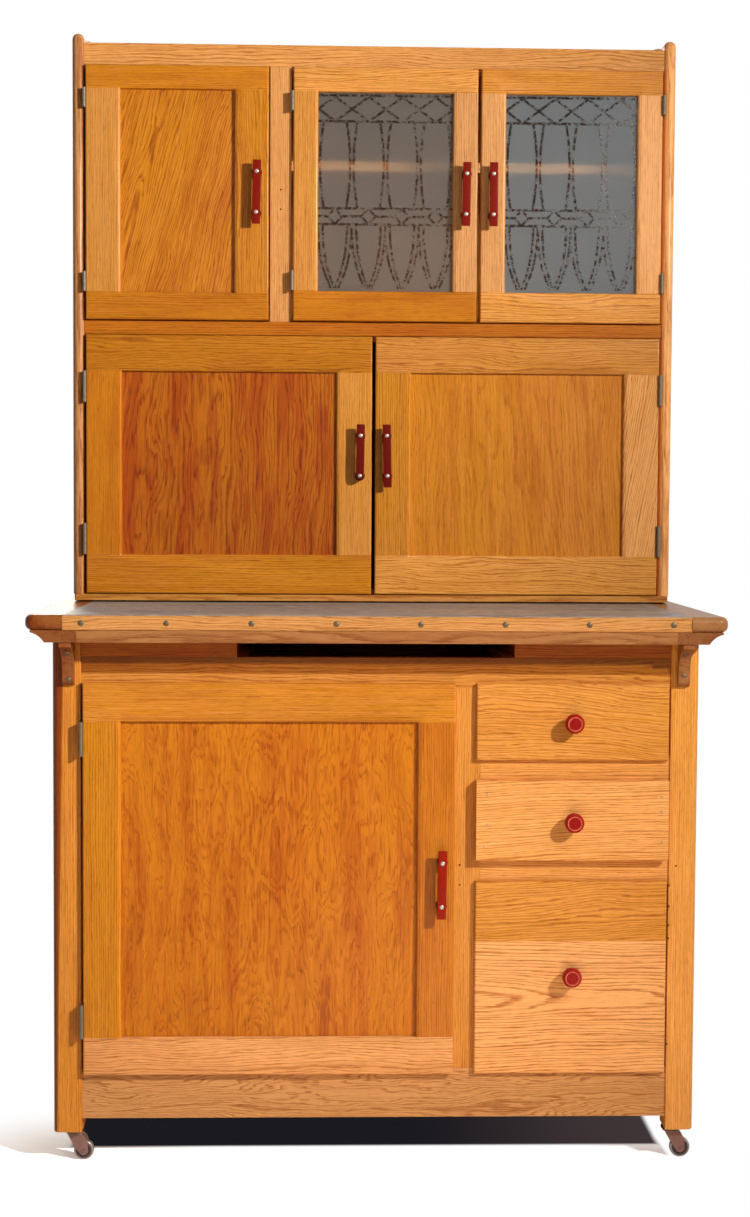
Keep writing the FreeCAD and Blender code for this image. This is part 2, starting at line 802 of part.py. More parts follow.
def hutch_face_frame():
    """Top rail, rail over the lower doors, stile, sill and the strips the doors shut against."""
    y = (hutch_face, hutch_inside)
    fit = (-hutch_inner, hutch_inner)
    top_rail = block(fit, y, (over(hutch_rail_bottom), over(hutch_rail_top)))
    mid_rail = block(fit, y, (over(mid_rail_bottom), over(mid_rail_top)))
    stile = block((stile_left, stile_right), y, (over(mid_rail_top), over(hutch_rail_bottom)))
    sill_x = (-hutch_width / 2 + sill_overhang, hutch_width / 2 - sill_overhang)
    sill_z = (over(sill_bottom), over(sill_top))
    sill_y = (hutch_front + door_gap, hutch_inside)
    sill = block(sill_x, sill_y, sill_z)
    sill_middle = (sill_z[0] + sill_z[1]) / 2
    sill = rounded(sill, edge_round, (sill_x[0], sill_y[0], sill_middle),
                   (sill_x[1], sill_y[0], sill_middle))
    pieces = [top_rail, mid_rail, stile, sill]
    stop_y = (door_front + door_thickness + stop_gap, hutch_inside)
    levels = [over(hutch_rail_bottom) - stop_size, over(mid_rail_top)]
    for low in levels:
        for x in ((-hutch_inner, stile_left), (stile_right, hutch_inner)):
            pieces.append(block(x, stop_y, (low, low + stop_size)))
    for low in (over(mid_rail_bottom) - stop_size, over(sill_top)):
        pieces.append(block(fit, stop_y, (low, low + stop_size)))
    return pieces


def hutch_top_board():
    top = over(hutch_rail_top - hutch_top_drop)
    return block((-hutch_inner, hutch_inner), (hutch_inside, hutch_back_face),
                 (top - hutch_top_thickness, top))


def hutch_divisions():
    """Deck over the lower doors, upright between the upper cupboards, shelf behind the glass."""
    y = (hutch_inside, hutch_back_face)
    deck_top = over(mid_rail_top)
    deck = block((-hutch_inner, hutch_inner), y, (deck_top - deck_thickness, deck_top))
    ceiling = over(hutch_rail_top - hutch_top_drop) - hutch_top_thickness
    upright_x = (hutch_stile_centre - deck_thickness / 2, hutch_stile_centre + deck_thickness / 2)
    upright = block(upright_x, y, (deck_top, ceiling))
    shelf_z = (over(shelf_height), over(shelf_height) + shelf_thickness)
    shelf = block((upright_x[1], hutch_inner), (hutch_inside + shelf_setback, hutch_back_face),
                  shelf_z)
    return [deck, upright, shelf]


def hutch_back():
    top = over(hutch_rail_top - hutch_top_drop)
    return block((-hutch_inner, hutch_inner), (hutch_back_face, rear_plane),
                 (over(sill_bottom), top))


def rear_iron():
    """Left flat iron behind the cabinet, screwed to the rear post and to the hutch."""
    z = (base_top - iron_foot, worktop_height + iron_head)
    x = (-iron_centre - iron_width / 2, -iron_centre + iron_width / 2)
    return block(x, (rear_plane, back), z)


# ---------------------------------------------------------------- casters

def caster_socket(x, y):
    """Floor plate of the leg with the sleeve that the stem turns in."""
    inner = stem_radius + stem_clearance
    plate_z = caster_height - plate_thickness
    plate = rod(plate_radius, plate_thickness, (x, y, plate_z), (0, 0, 1))
    sleeve = rod(inner + socket_wall, stem_length + plate_thickness, (x, y, plate_z), (0, 0, 1))
    hole = rod(inner, stem_length, (x, y, plate_z), (0, 0, 1))
    return plate.fuse(sleeve).cut(hole).removeSplitter()


def fork_cheek(x, y, half):
    """Outline of a fork cheek: it leads down in a curve to the eye behind the stem."""
    axle = V(x + caster_trail, y, wheel_diameter / 2)
    eye = fork_eye_radius
    top_left = V(x - half, y, cap_top)
    top_right = V(x + half, y, cap_top)
    low_left = V(x - half, y, cap_low)
    low_right = V(x + half, y, cap_low)
    eye_left = axle + V(-eye * 0.8, 0, -eye * 0.6)
    eye_right = axle + V(eye, 0, 0)
    shoulder = axle + V(eye, 0, eye)
    sweep = (low_left + eye_left) / 2 - V(fork_sweep, 0, 0)
    crown = (low_right + shoulder) / 2 + V(fork_crown, 0, fork_crown)
    edges = [
        Part.makeLine(top_left, top_right),
        Part.makeLine(top_right, low_right),
        Part.Arc(low_right, crown, shoulder).toShape(),
        Part.makeLine(shoulder, eye_right),
        Part.Arc(eye_right, axle - V(0, 0, eye), eye_left).toShape(),
        Part.Arc(eye_left, sweep, low_left).toShape(),
        Part.makeLine(low_left, top_left),
    ]
    return Part.Face(Part.Wire(edges))


def caster_fork(x, y):
    """Stem, cap, two cheeks and the web between their leading edges, with a riveted axle."""
    inner = wheel_width / 2 + fork_side_gap
    outer = inner + fork_thickness
    half = (fork_cap_radius ** 2 - outer ** 2) ** 0.5
    stem = rod(stem_radius, stem_length - stem_end_gap + swivel_gap, (x, y, cap_top), (0, 0, 1))
    cap = rod(fork_cap_radius, fork_cap_thickness, (x, y, cap_low), (0, 0, 1))
    body = cap.fuse(stem)
    for low in (y - outer, y + inner):
        body = body.fuse(fork_cheek(x, low, half).extrude(V(0, fork_thickness, 0)))
    web = fork_cheek(x, y - outer, half).extrude(V(0, 2 * outer, 0))
    web = web.cut(web.translated(V(fork_thickness, 0, 0)))
    web_floor = (cap_low + wheel_diameter / 2) / 2
    body = body.fuse(web.common(block((x - half - overcut, x), (y - outer, y + outer),
                                      (web_floor, cap_top))))
    start = (x + caster_trail, y - outer - rivet_height, wheel_diameter / 2)
    body = body.fuse(rod(axle_radius, 2 * (outer + rivet_height), start, (0, 1, 0)))
    return body.removeSplitter()


def caster_wheel(x, y):
    """Iron wheel with rounded edges, dished sides and a bored hub."""
    radius = wheel_diameter / 2
    bore = axle_radius + axle_clearance
    rim_inner = radius - 2 * wheel_edge
    centre_x = x + caster_trail

    def disc(r, low, high):
        return rod(r, high - low, (centre_x, y + low, radius), (0, 1, 0))

    half = wheel_width / 2
    tyre = disc(radius, -half, half)
    tread_edges = [edge for edge in tyre.Edges if edge.Closed]
    wheel = tyre.makeFillet(wheel_edge, tread_edges)
    for low, high in ((-half, wheel_dish - half), (half - wheel_dish, half)):
        dish = disc(rim_inner, low, high).cut(disc(hub_radius, low, high))
        wheel = wheel.cut(dish)
    return wheel.cut(disc(bore, -half, half))


# ---------------------------------------------------------------- the set of doors

def hinge_levels(z, height, inset_low, inset_high):
    return (z[0] + inset_low + height / 2, z[1] - inset_high - height / 2)


def build_door(name, x, z, face, thickness, widths, panel, side, hinge, pull_z, glazed=False):
    """Make one door and return its fixed leaves.  side is 1 where it is hung on its left edge."""
    filling = "glass" if glazed else "panel"
    frame, infill = framed_door(x, z, face, thickness, widths, panel)
    if name == "base_door":
        inner_x = (x[0], x[1] - lip_overlap - door_gap)
        inner_z = (z[0] + lip_overlap + door_gap, z[1] - lip_overlap - door_gap)
        frame = rabbeted(frame, inner_x, inner_z, face, lip_thickness, thickness)
    hinge_edge = x[0] if side > 0 else x[1]
    pull_x = x[1] - pull_edge_distance if side > 0 else x[0] + pull_edge_distance
    fixed, moving = [], []
    for level in hinge_levels(z, hinge, widths[2], widths[1]):
        stays, swings = hinge_leaves(hinge_edge, face, level, hinge, side)
        fixed.append(stays)
        moving.append(swings)
    export(name + "_frame", *frame)
    export(name + "_" + filling, infill)
    export(name + "_pull", *bar_pull(pull_x, pull_z, face))
    export(name + "_hinge_leaves", *moving)
    return fixed


def build_doors():
    upper_z = (over(mid_rail_top) + door_gap, over(hutch_rail_bottom) - door_gap)
    lower_z = (over(sill_top) + door_gap, over(mid_rail_bottom) - door_gap)
    left_edge = -hutch_inner + hinge_gap
    right_edge = hutch_inner - hinge_gap
    half_gap = meeting_gap / 2
    panel_widths = (panel_door_stile, panel_door_top_rail, panel_door_bottom_rail)
    glass_widths = (glass_door_stile, glass_door_top_rail, glass_door_bottom_rail)
    lower_widths = (lower_door_stile, lower_door_top_rail, lower_door_bottom_rail)
    base_widths = (base_door_stile, base_door_top_rail, base_door_bottom_rail)
    upper_pull = (upper_z[0] + upper_z[1]) / 2
    lower_pull = (lower_z[0] + lower_z[1]) / 2 + lower_pull_lift
    fixed = []
    fixed += build_door("upper_left_door", (left_edge, stile_left - stile_gap), upper_z,
                        door_front, door_thickness, panel_widths, door_panel, 1, small_hinge,
                        upper_pull)
    fixed += build_door("left_glass_door", (stile_right + hinge_gap, upper_meeting - half_gap),
                        upper_z, door_front, door_thickness, glass_widths, glass_thickness, 1,
                        small_hinge, upper_pull, glazed=True)
    fixed += build_door("right_glass_door", (upper_meeting + half_gap, right_edge), upper_z,
                        door_front, door_thickness, glass_widths, glass_thickness, -1,
                        small_hinge, upper_pull, glazed=True)
    fixed += build_door("lower_left_door", (left_edge, lower_meeting - half_gap), lower_z,
                        door_front, door_thickness, lower_widths, door_panel, 1, large_hinge,
                        lower_pull)
    fixed += build_door("lower_right_door", (lower_meeting + half_gap, right_edge), lower_z,
                        door_front, door_thickness, lower_widths, door_panel, -1, large_hinge,
                        lower_pull)
    base_z = (opening_floor - lip_overlap, opening_top + lip_overlap)
    base_pull = (base_z[0] + base_z[1]) / 2 - base_pull_drop
    fixed += build_door("base_door", (-leg_inner + hinge_gap, mullion_left + lip_overlap), base_z,
                        base_door_front, base_door_thickness, base_widths, door_panel, 1,
                        large_hinge, base_pull)
    export("hinge_post_leaves", *fixed)


def build_drawers():
    openings = (("top_drawer", upper_divider_top, opening_top, True, 0.0),
                ("middle_drawer", lower_divider_top, upper_divider_bottom, False, 0.0),
                ("bottom_drawer", opening_floor, lower_divider_bottom, True, bottom_knob_lift))
    runners = []
    for name, floor, top, lipped, knob_lift in openings:
        solids, face, middle = drawer(floor, top, lipped)
        export(name, *solids)
        export(name + "_knob", knob(middle[0], middle[1] + knob_lift, face))
        runners += drawer_runners(floor)
    return runners


def build_casters():
    places = {"front_left": (-caster_stem_centre, front_caster_y),
              "front_right": (caster_stem_centre, front_caster_y),
              "rear_left": (-caster_stem_centre, rear_caster_y),
              "rear_right": (caster_stem_centre, rear_caster_y)}
    for name, (x, y) in places.items():
        export(name + "_caster_fork", caster_fork(x, y))
        export(name + "_caster_wheel", caster_wheel(x, y))
    export("caster_sockets", *[caster_socket(x, y) for x, y in places.values()])


def build():
    os.makedirs("parts", exist_ok=True)
    side = left_side()
    export("base_side_left", *side)
    export("base_side_right", *[mirrored(piece) for piece in side])
    export("base_face_frame", *base_face_frame())
    export("base_back", *base_back())
    export("base_partition", base_partition())
    export("base_shelves", *base_shelves())
    guide = worktop_guide()
    runners = build_drawers()
    export("base_runners", guide, mirrored(guide), *dough_board_guides(), *runners)
    bracket = corbel()
    export("corbels", bracket, mirrored(bracket))

    end = end_moulding()
    export("worktop_end_mouldings", end, mirrored(end))
    export("worktop_nosing", *worktop_nosing())
    board_y = (front + nosing_depth, worktop_rear)
    board_z = (underside, worktop_height - sheet_thickness)
    export("worktop_board", block((-board_half, board_half), board_y, board_z))
    sheet_z = (worktop_height - sheet_thickness, worktop_height)
    export("worktop_sheet", block((-board_half, board_half), (front + sheet_setback, worktop_rear),
                                  sheet_z))
    export("worktop_underframe", *worktop_underframe())

    hutch_board = hutch_side()
    export("hutch_side_left", hutch_board)
    export("hutch_side_right", mirrored(hutch_board))
    export("hutch_face_frame", *hutch_face_frame())
    export("hutch_top_board", hutch_top_board())
    export("hutch_divisions", *hutch_divisions())
    export("hutch_back", hutch_back())
    iron = rear_iron()
    export("rear_irons", iron, mirrored(iron))

    build_doors()
    build_casters()


build()
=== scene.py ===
import math
import random

import bmesh
import bpy
from mathutils import Matrix, Vector
from mathutils.bvhtree import BVHTree


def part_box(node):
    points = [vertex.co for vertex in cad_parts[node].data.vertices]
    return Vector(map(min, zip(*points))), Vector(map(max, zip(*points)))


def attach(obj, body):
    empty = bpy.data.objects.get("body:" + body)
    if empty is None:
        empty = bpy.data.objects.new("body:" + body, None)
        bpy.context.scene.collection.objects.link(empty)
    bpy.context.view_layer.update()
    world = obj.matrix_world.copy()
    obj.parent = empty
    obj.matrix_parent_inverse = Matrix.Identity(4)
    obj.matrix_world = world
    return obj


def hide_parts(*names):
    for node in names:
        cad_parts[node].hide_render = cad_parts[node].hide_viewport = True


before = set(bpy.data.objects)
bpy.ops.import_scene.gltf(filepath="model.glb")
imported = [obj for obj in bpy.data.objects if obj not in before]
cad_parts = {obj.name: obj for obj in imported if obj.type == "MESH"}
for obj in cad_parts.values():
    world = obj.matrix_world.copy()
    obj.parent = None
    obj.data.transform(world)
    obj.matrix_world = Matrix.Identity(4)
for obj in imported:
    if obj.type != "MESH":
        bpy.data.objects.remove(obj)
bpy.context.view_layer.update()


# ---------------------------------------------------------------- sides of the base

# Each side of the base is two square oak posts, rounded on their outer corner, with two rails
# between them and a thin panel in their grooves.  The oak is stained and varnished: a board
# shows the growth rings as its cut meets them, open pores along the grain and patches of stain.
MM = 0.001
X, Y, Z = 0, 1, 2
PALE = (0.88, 0.430, 0.155)
AMBER = (0.64, 0.250, 0.010)
RUSSET = (0.30, 0.054, 0.003)
RING_LINE = (0.55, 0.34, 0.18, 1.0)
PORE = (0.42, 0.24, 0.14, 1.0)
GRAIN_LAYERS = ("grain", "cut", "figure", "tone", "stain")
# Half the width of the soft edge where a board's painted shade begins.
PAINTED_SHADE_EDGE = 1.5 * MM

# How a board was cut from its log: the slope of the pith, its offset across the board and its
# depth, in metres; then ring width, waviness and contrast; then how blotchy the stain took.
# A board near the pith shows arches, one cut far from it straight lines.
ARCHES = ((0.055, 0.012, 0.030), (0.0044, 0.030, 1.00), 0.14)
HALF_ARCHES = ((0.045, 0.045, 0.025), (0.0042, 0.026, 0.80), 0.16)
STRAIGHT = ((0.012, 0.170, 0.030), (0.0036, 0.016, 0.75), 0.16)
PLAIN = ((0.010, 0.190, 0.020), (0.0032, 0.014, 0.48), 0.22)
WAVY = ((0.030, 0.080, 0.030), (0.0040, 0.055, 0.82), 0.18)
CURLY = ((0.030, 0.080, 0.040), (0.0044, 0.130, 0.85), 0.14)
END_GRAIN = ((0.010, 0.190, 0.020), (0.0034, 0.014, 0.12), 0.20)


class Wire:
    """A socket of a shader, so that sums of sockets are written as sums."""

    def __init__(self, tree, socket=None):
        self.tree = tree
        self.socket = socket

    def node(self, kind, settings=None, inputs=None, output=0):
        """Add a node, set it up, wire or set its inputs and return one of its outputs."""
        made = self.tree.nodes.new("ShaderNode" + kind)
        for name, value in (settings or {}).items():
            setattr(made, name, value)
        for name, value in (inputs or {}).items():
            if isinstance(value, Wire):
                self.tree.links.new(value.socket, made.inputs[name])
            else:
                made.inputs[name].default_value = value
        return Wire(self.tree, made.outputs[output] if made.outputs else None)

    def maths(self, operation, first, second=0.0):
        return self.node("Math", {"operation": operation}, {0: first, 1: second})

    def __add__(self, other):
        return self.maths("ADD", self, other)

    def __sub__(self, other):
        return self.maths("SUBTRACT", self, other)

    def __rsub__(self, other):
        return self.maths("SUBTRACT", other, self)

    def __mul__(self, other):
        return self.maths("MULTIPLY", self, other)

    def __truediv__(self, other):
        return self.maths("DIVIDE", self, other)

    def __pow__(self, other):
        return self.maths("POWER", self, other)

    def __abs__(self):
        return self.maths("ABSOLUTE", self)

    def least(self, other):
        return self.maths("MINIMUM", self, other)

    def most(self, other):
        return self.maths("MAXIMUM", self, other)

    def share(self):
        """The value held between nothing and the whole."""
        return self.most(0.0).least(1.0)

    def fraction(self):
        return self.maths("FRACT", self)

    def ramp(self, low, high, start=0.0, end=1.0):
        """start below low, end above high and a smooth change between them."""
        settings = {"interpolation_type": "SMOOTHSTEP"}
        return self.node("MapRange", settings, {"Value": self, "From Min": low, "From Max": high,
                                                "To Min": start, "To Max": end})

    def part(self, name):
        return self.node("SeparateXYZ", None, {"Vector": self}, name)

    def stretched(self, x, y, z):
        return self.node("VectorMath", {"operation": "MULTIPLY"}, {0: self, 1: (x, y, z)})

    def moved(self, other):
        return self.node("VectorMath", {"operation": "ADD"}, {0: self, 1: other})

    def scaled(self, factor):
        return self.node("VectorMath", {"operation": "SCALE"}, {0: self, "Scale": factor})

    def vector(self, x, y, z=0.0):
        return self.node("CombineXYZ", None, {"X": x, "Y": y, "Z": z})

    def noise(self, detail=2.0, roughness=0.5):
        return self.node("TexNoise", None, {"Vector": self, "Scale": 1.0, "Detail": detail,
                                            "Roughness": roughness})

    def mixed(self, factor, other):
        """This colour with the other laid over it by a factor."""
        return self.node("Mix", {"data_type": "RGBA"}, {0: factor, 6: self, 7: other}, 2)

    def times(self, factor, colour):
        """This colour multiplied by another by a factor."""
        return self.node("Mix", {"data_type": "RGBA", "blend_type": "MULTIPLY"},
                         {0: factor, 6: self, 7: colour}, 2)

    def colour(self, rgb):
        made = self.node("RGB")
        made.socket.default_value = (*rgb, 1.0)
        return made


def new_material(name):
    material = bpy.data.materials.new(name)
    material.use_nodes = True
    material.node_tree.nodes.clear()
    return material, Wire(material.node_tree)


def finish_material(wire, shader):
    wire.node("OutputMaterial", None, {"Surface": shader})


def make_oak(name, layers):
    """Varnished oak.  layers gives the five vectors that say how a board was cut and stained."""
    material, wire = new_material(name)
    grain, cut, figure, tone, stain = layers(wire)
    seed = stain.part("Z")
    shift = wire.vector(seed * 13.0, seed * 7.3, seed * 3.1)

    def grained(along, across, detail, roughness=0.5):
        """Noise around zero, drawn out along the grain; lengths are waves in a metre."""
        return grain.stretched(along, across, across).moved(shift).noise(detail, roughness) - 0.5

    ring_width, wave, contrast = (figure.part(axis) for axis in "XYZ")
    across = grain.part("Y") - cut.part("Y")
    depth = grain.part("Z") + cut.part("Z") + cut.part("X") * grain.part("X")
    warp = grained(3.0, 10.0, 2.0) + grained(13.0, 62.0, 2.0) * 0.16
    radius = (across * across + depth * depth) ** 0.5 + warp * wave
    uneven = wire.vector(radius * 55.0, seed).noise(2.0) - 0.5
    phase = radius / ring_width + uneven * 3.4 + grained(12.0, 300.0, 2.0, 0.6) * 0.8
    ring = phase.fraction()
    early = ring.ramp(0.0, 0.10) * ring.ramp(0.12, 0.55, 1.0, 0.0)
    dash = grained(20.0, 620.0, 2.0, 0.6).ramp(-0.12, 0.10)
    lines = early * (dash * 0.55 + 0.45)
    pores = grained(46.0, 1300.0, 2.0, 0.6).ramp(0.03, 0.17) * (early * 0.6 + 0.4)
    fibre = grained(9.0, 430.0, 3.0, 0.65)
    patch = grained(3.2, 17.0, 3.0, 0.6)
    cloud = grained(1.3, 5.0, 2.0)
    fleck = grained(80.0, 300.0, 2.0, 0.6)
    ragged = grained(6.0, 44.0, 4.0, 0.62) + grained(11.0, 330.0, 2.0) * 0.45
    blotch = ragged.ramp(-0.10, 0.22) * stain.part("X")
    base = wire.colour(AMBER).mixed((tone.part("X") + fibre * 0.9 + cloud * 0.5).share(),
                                    wire.colour(PALE))
    base = base.mixed((tone.part("Y") + blotch + fibre * 0.4 + patch * 0.5 + cloud * 0.4).share(),
                      wire.colour(RUSSET))
    base = base.times((lines * contrast).share(), RING_LINE)
    base = base.times(pores * 0.75, PORE)
    base = base.scaled((fibre * 0.34 + patch * 0.24 + cloud * 0.25 + fleck * 0.26 + 1.0)
                       * tone.part("Z"))
    bump = wire.node("Bump", None, {"Strength": 0.15, "Distance": 0.4 * MM,
                                    "Height": 1.0 - pores})
    shader = wire.node("BsdfPrincipled", None, {
        "Base Color": base, "Roughness": pores * 0.15 + fibre * 0.1 + 0.40,
        "Specular IOR Level": 0.05, "Coat Weight": 0.20, "Coat Roughness": 0.22,
        "Normal": bump})
    finish_material(wire, shader)
    return material


def from_layers(wire):
    return [wire.node("Attribute", {"attribute_name": name}, output="Vector")
            for name in GRAIN_LAYERS]


oak = make_oak("oak", from_layers)


def bounds_of(vertices):
    return [Vector([pick(vertex.co[axis] for vertex in vertices) for axis in (X, Y, Z)])
            for pick in (min, max)]


def lay_board(vertices, layers, along, tone, cut, slant, side, seed):
    """Write into a board's vertices where each lies in its log and how the board is stained."""
    low, high = bounds_of(vertices)
    centre = (low + high) / 2
    order = axis_order(low, high, along)
    turn = math.radians(slant)
    for vertex in vertices:
        away = vertex.co - centre
        along_grain, across, through = (away[axis] for axis in order)
        vertex[layers[0]] = (along_grain * math.cos(turn) + across * math.sin(turn),
                             across * math.cos(turn) - along_grain * math.sin(turn), through)
        vertex[layers[1]] = (cut[0][0], cut[0][1] * side, cut[0][2])
        vertex[layers[2]] = cut[1]
        vertex[layers[3]] = tone
        vertex[layers[4]] = (cut[2], 0.0, seed)


def axis_order(low, high, along):
    """A board's axes: its grain, then its width, then its thickness."""
    rest = sorted((axis for axis in (X, Y, Z) if axis != along),
                  key=lambda axis: low[axis] - high[axis])
    return (along, rest[0], rest[1])


def new_layers(mesh):
    for name in GRAIN_LAYERS:
        mesh.verts.layers.float_vector.new(name)
    return [mesh.verts.layers.float_vector[name] for name in GRAIN_LAYERS]


class Boards:
    """The boards of one wooden piece: cut square, their edges eased, their grain laid."""

    def __init__(self, seed):
        self.mesh = bmesh.new()
        self.random = random.Random(seed)

    def add(self, low, high, along, tone=(0.3, 0.1, 1.0), cut=STRAIGHT, slant=0.0, ease=0.5 * MM,
            soft=(), radius=3 * MM, painted_shade=None):
        """Add a board.

        soft names the edges with a large rounding, as pairs of face signs.  The last argument gives
        a
        point, a direction and a tone: beyond the point the board takes that darker tone, as painted
        shade.
        """
        low, high = Vector(low), Vector(high)
        board = bmesh.new()
        size = Matrix.Diagonal((*(high - low), 1.0))
        bmesh.ops.create_cube(board, size=1.0, matrix=Matrix.Translation((low + high) / 2) @ size)
        if soft:
            edges = [edge for edge in board.edges if faces_of(edge) in soft]
            bmesh.ops.bevel(board, geom=edges, offset=radius, segments=6, profile=0.5,
                            affect="EDGES", clamp_overlap=True, material=-1)
        ease_edges(board, ease)
        side = self.random.choice((-1, 1))
        layers = new_layers(board)
        if painted_shade:
            spot, beyond, dark_tone = Vector(painted_shade[0]), Vector(painted_shade[1]), painted_shade[2]
            for away in (-PAINTED_SHADE_EDGE, PAINTED_SHADE_EDGE):
                bmesh.ops.bisect_plane(board, geom=board.verts[:] + board.edges[:] + board.faces[:],
                                       plane_co=spot + beyond * away, plane_no=beyond)
        lay_board(board.verts, layers, along, tone, cut, slant, side, self.random.uniform(0, 50))
        if painted_shade:
            for vertex in board.verts:
                if (vertex.co - spot).dot(beyond) > 0:
                    vertex[layers[3]] = dark_tone
        part = bpy.data.meshes.new("board")
        board.to_mesh(part)
        board.free()
        self.mesh.from_mesh(part)
        bpy.data.meshes.remove(part)

    def make(self, name, body, *nodes):
        """Turn the boards into one finished piece that stands for the given CAD nodes."""
        piece = new_piece(name, self.mesh, oak)
        settle(piece, body, "oak", *nodes)
        return piece


def faces_of(edge):
    """The two sides that meet in an edge of a square board, as a word such as -y+z."""
    words = []
    for axis, name in enumerate("xyz"):
        for face in edge.link_faces:
            if abs(face.normal[axis]) > 0.5:
                words.append(("+" if face.normal[axis] > 0 else "-") + name)
    return "".join(words)


def ease_edges(mesh, ease):
    """Take the sharpness off every square edge."""
    sharp = [edge for edge in mesh.edges
             if edge.is_manifold and edge.calc_face_angle(0.0) > math.radians(50)]
    bmesh.ops.bevel(mesh, geom=sharp, offset=ease, segments=2, profile=0.5, affect="EDGES",
                    clamp_overlap=True, material=-1)


def new_piece(name, mesh, *materials, smooth_angle=20.0):
    data = bpy.data.meshes.new(name)
    mesh.to_mesh(data)
    mesh.free()
    for material in materials:
        data.materials.append(material)
    data.shade_smooth()
    data.set_sharp_from_angle(angle=math.radians(smooth_angle))
    piece = bpy.data.objects.new(name, data)
    bpy.context.scene.collection.objects.link(piece)
    return piece


def settle(piece, body, slot, *nodes):
    """Fix a finished piece to its body and hide the CAD solids it stands for."""
    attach(piece, body)
    if nodes:
        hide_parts(*nodes)


# Faces of rails and panel are measured outwards from the inner face of the posts, and the rails'
# edges from the foot and the top of the posts.
POST = 43 * MM
POST_ROUND = 10 * MM
POST_EASE = 1.2 * MM
RAIL_INSET = (18 * MM, 40 * MM)
PANEL_INSET = (25 * MM, 33 * MM)
BOTTOM_RAIL = (21 * MM, 121 * MM)
TOP_RAIL = 80 * MM
LEFT_POST = (0.16, 0.20, 1.10)
RIGHT_POST = (0.38, -0.10, 1.07)
# The left post is darker along its outer rounded edge, and the strip widens towards the top: painted
# shade, with some dirt. These give its width at the foot, its widening and its tone.
SHADE_AND_DIRT_STRIP = 5 * MM
SHADE_AND_DIRT_SLOPE = 0.016
SHADE_AND_DIRT_TONE = (0.0, 0.70, 0.72)
side_pieces = {}
for node, side, tone in (("base_side_left", -1, LEFT_POST), ("base_side_right", 1, RIGHT_POST)):
    low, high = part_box(node)
    outer = "-x" if side < 0 else "+x"
    inner_x = low.x if side > 0 else high.x
    rail_x = sorted(inner_x + side * inset for inset in RAIL_INSET)
    panel_x = sorted(inner_x + side * inset for inset in PANEL_INSET)
    rail_y = (low.y + POST, high.y - POST)
    wood = Boards(50 + side)
    # Only the left post takes the strip of painted shade and dirt.
    shaded = None
    if side < 0:
        shaded = ((low.x + SHADE_AND_DIRT_STRIP, 0, low.z), (-1.0, 0, SHADE_AND_DIRT_SLOPE), SHADE_AND_DIRT_TONE)
    wood.add(low, (high.x, low.y + POST, high.z), Z, tone, PLAIN, soft=(outer + "-y",),
             radius=POST_ROUND, ease=POST_EASE, painted_shade=shaded)
    wood.add((low.x, high.y - POST, low.z), high, Z, (0.3, 0.15, 1.0), STRAIGHT,
             soft=(outer + "+y",), radius=POST_ROUND, ease=POST_EASE)
    bottom_rail = (low.z + BOTTOM_RAIL[0], low.z + BOTTOM_RAIL[1])
    top_rail = (high.z - TOP_RAIL, high.z)
    for rail in (bottom_rail, top_rail):
        wood.add((rail_x[0], rail_y[0], rail[0]), (rail_x[1], rail_y[1], rail[1]), Y,
                 (0.35, 0.1, 1.0))
    wood.add((panel_x[0], rail_y[0], bottom_rail[1]), (panel_x[1], rail_y[1], top_rail[0]), Z,
             (0.1, 0.3, 1.0), ARCHES)
    side_pieces[side] = wood.make(node + "_boards", "cabinet", node)


# ---------------------------------------------------------------- front frame of the base

# Rails across the front, a slot for the dough board between two fillers, an upright between
# cupboard and drawers and two rails between the drawers, glued and nailed.
SLOT_HEIGHT = 24.5 * MM
RAIL_UNDER_SLOT = 45.2 * MM
FRONT_BOTTOM_RAIL = 76.5 * MM
# Depth and tone of a painted shadow of the worktop along the top of the rail below the slot.
WORKTOP_SHADOW_BAND = 25 * MM
WORKTOP_SHADOW_TONE = (0.10, 0.55, 0.66)
low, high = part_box("base_face_frame")
slot_floor = high.z - SLOT_HEIGHT
opening_top = slot_floor - RAIL_UNDER_SLOT
opening_floor = low.z + FRONT_BOTTOM_RAIL
slot_x = (-211.3 * MM, 207.1 * MM)
mullion = (110.6 * MM, 156.6 * MM)
base = Boards(60)
base.add(low, (high.x, high.y, opening_floor), X, (1.0, -0.10, 0.66), CURLY)
# The rail below the slot is darker along its top: a painted shadow of the worktop.
base.add((low.x, low.y, opening_top), (high.x, high.y, slot_floor), X, (0.30, 0.10, 0.93), WAVY,
         painted_shade=((0, 0, slot_floor - WORKTOP_SHADOW_BAND), (0, 0, 1), WORKTOP_SHADOW_TONE))
base.add((low.x, low.y, slot_floor), (slot_x[0], high.y, high.z), X, (0.04, 0.74, 1.20), STRAIGHT)
base.add((slot_x[1], low.y, slot_floor), high, X, (0.17, 0.70, 1.2), STRAIGHT)
base.add((mullion[0], low.y, opening_floor), (mullion[1], high.y, opening_top), Z,
         (0.24, -0.05, 0.90), PLAIN)
for bottom, top, tone in ((580.5 * MM, 624.5 * MM, (0.47, -0.10, 0.99)),
                          (426.5 * MM, 474.0 * MM, (0.50, -0.10, 0.94))):
    base.add((mullion[1], low.y, bottom), (high.x, high.y, top), X, tone, STRAIGHT)
front_frame = base.make("base_front_frame", "cabinet", "base_face_frame")


def surface_of(piece):
    return BVHTree.FromObject(piece, bpy.context.evaluated_depsgraph_get())


def set_heads(name, body, slot, material, piece, places, radius, proud):
    """Nail or screw heads in the front of a piece, at places across and above the floor in mm."""
    mesh = bmesh.new()
    surface = surface_of(piece)
    for x, z in places:
        spot, normal = surface.ray_cast(Vector((x * MM, -1.0, z * MM)), Vector((0, 1, 0)))[:2]
        turn = normal.to_track_quat("Z", "Y").to_matrix().to_4x4()
        flat = Matrix.Diagonal((radius, radius, proud, 1.0))
        bmesh.ops.create_uvsphere(mesh, u_segments=20, v_segments=12, radius=1.0,
                                  matrix=Matrix.Translation(spot) @ turn @ flat)
    settle(new_piece(name, mesh, material, smooth_angle=60.0), body, slot)


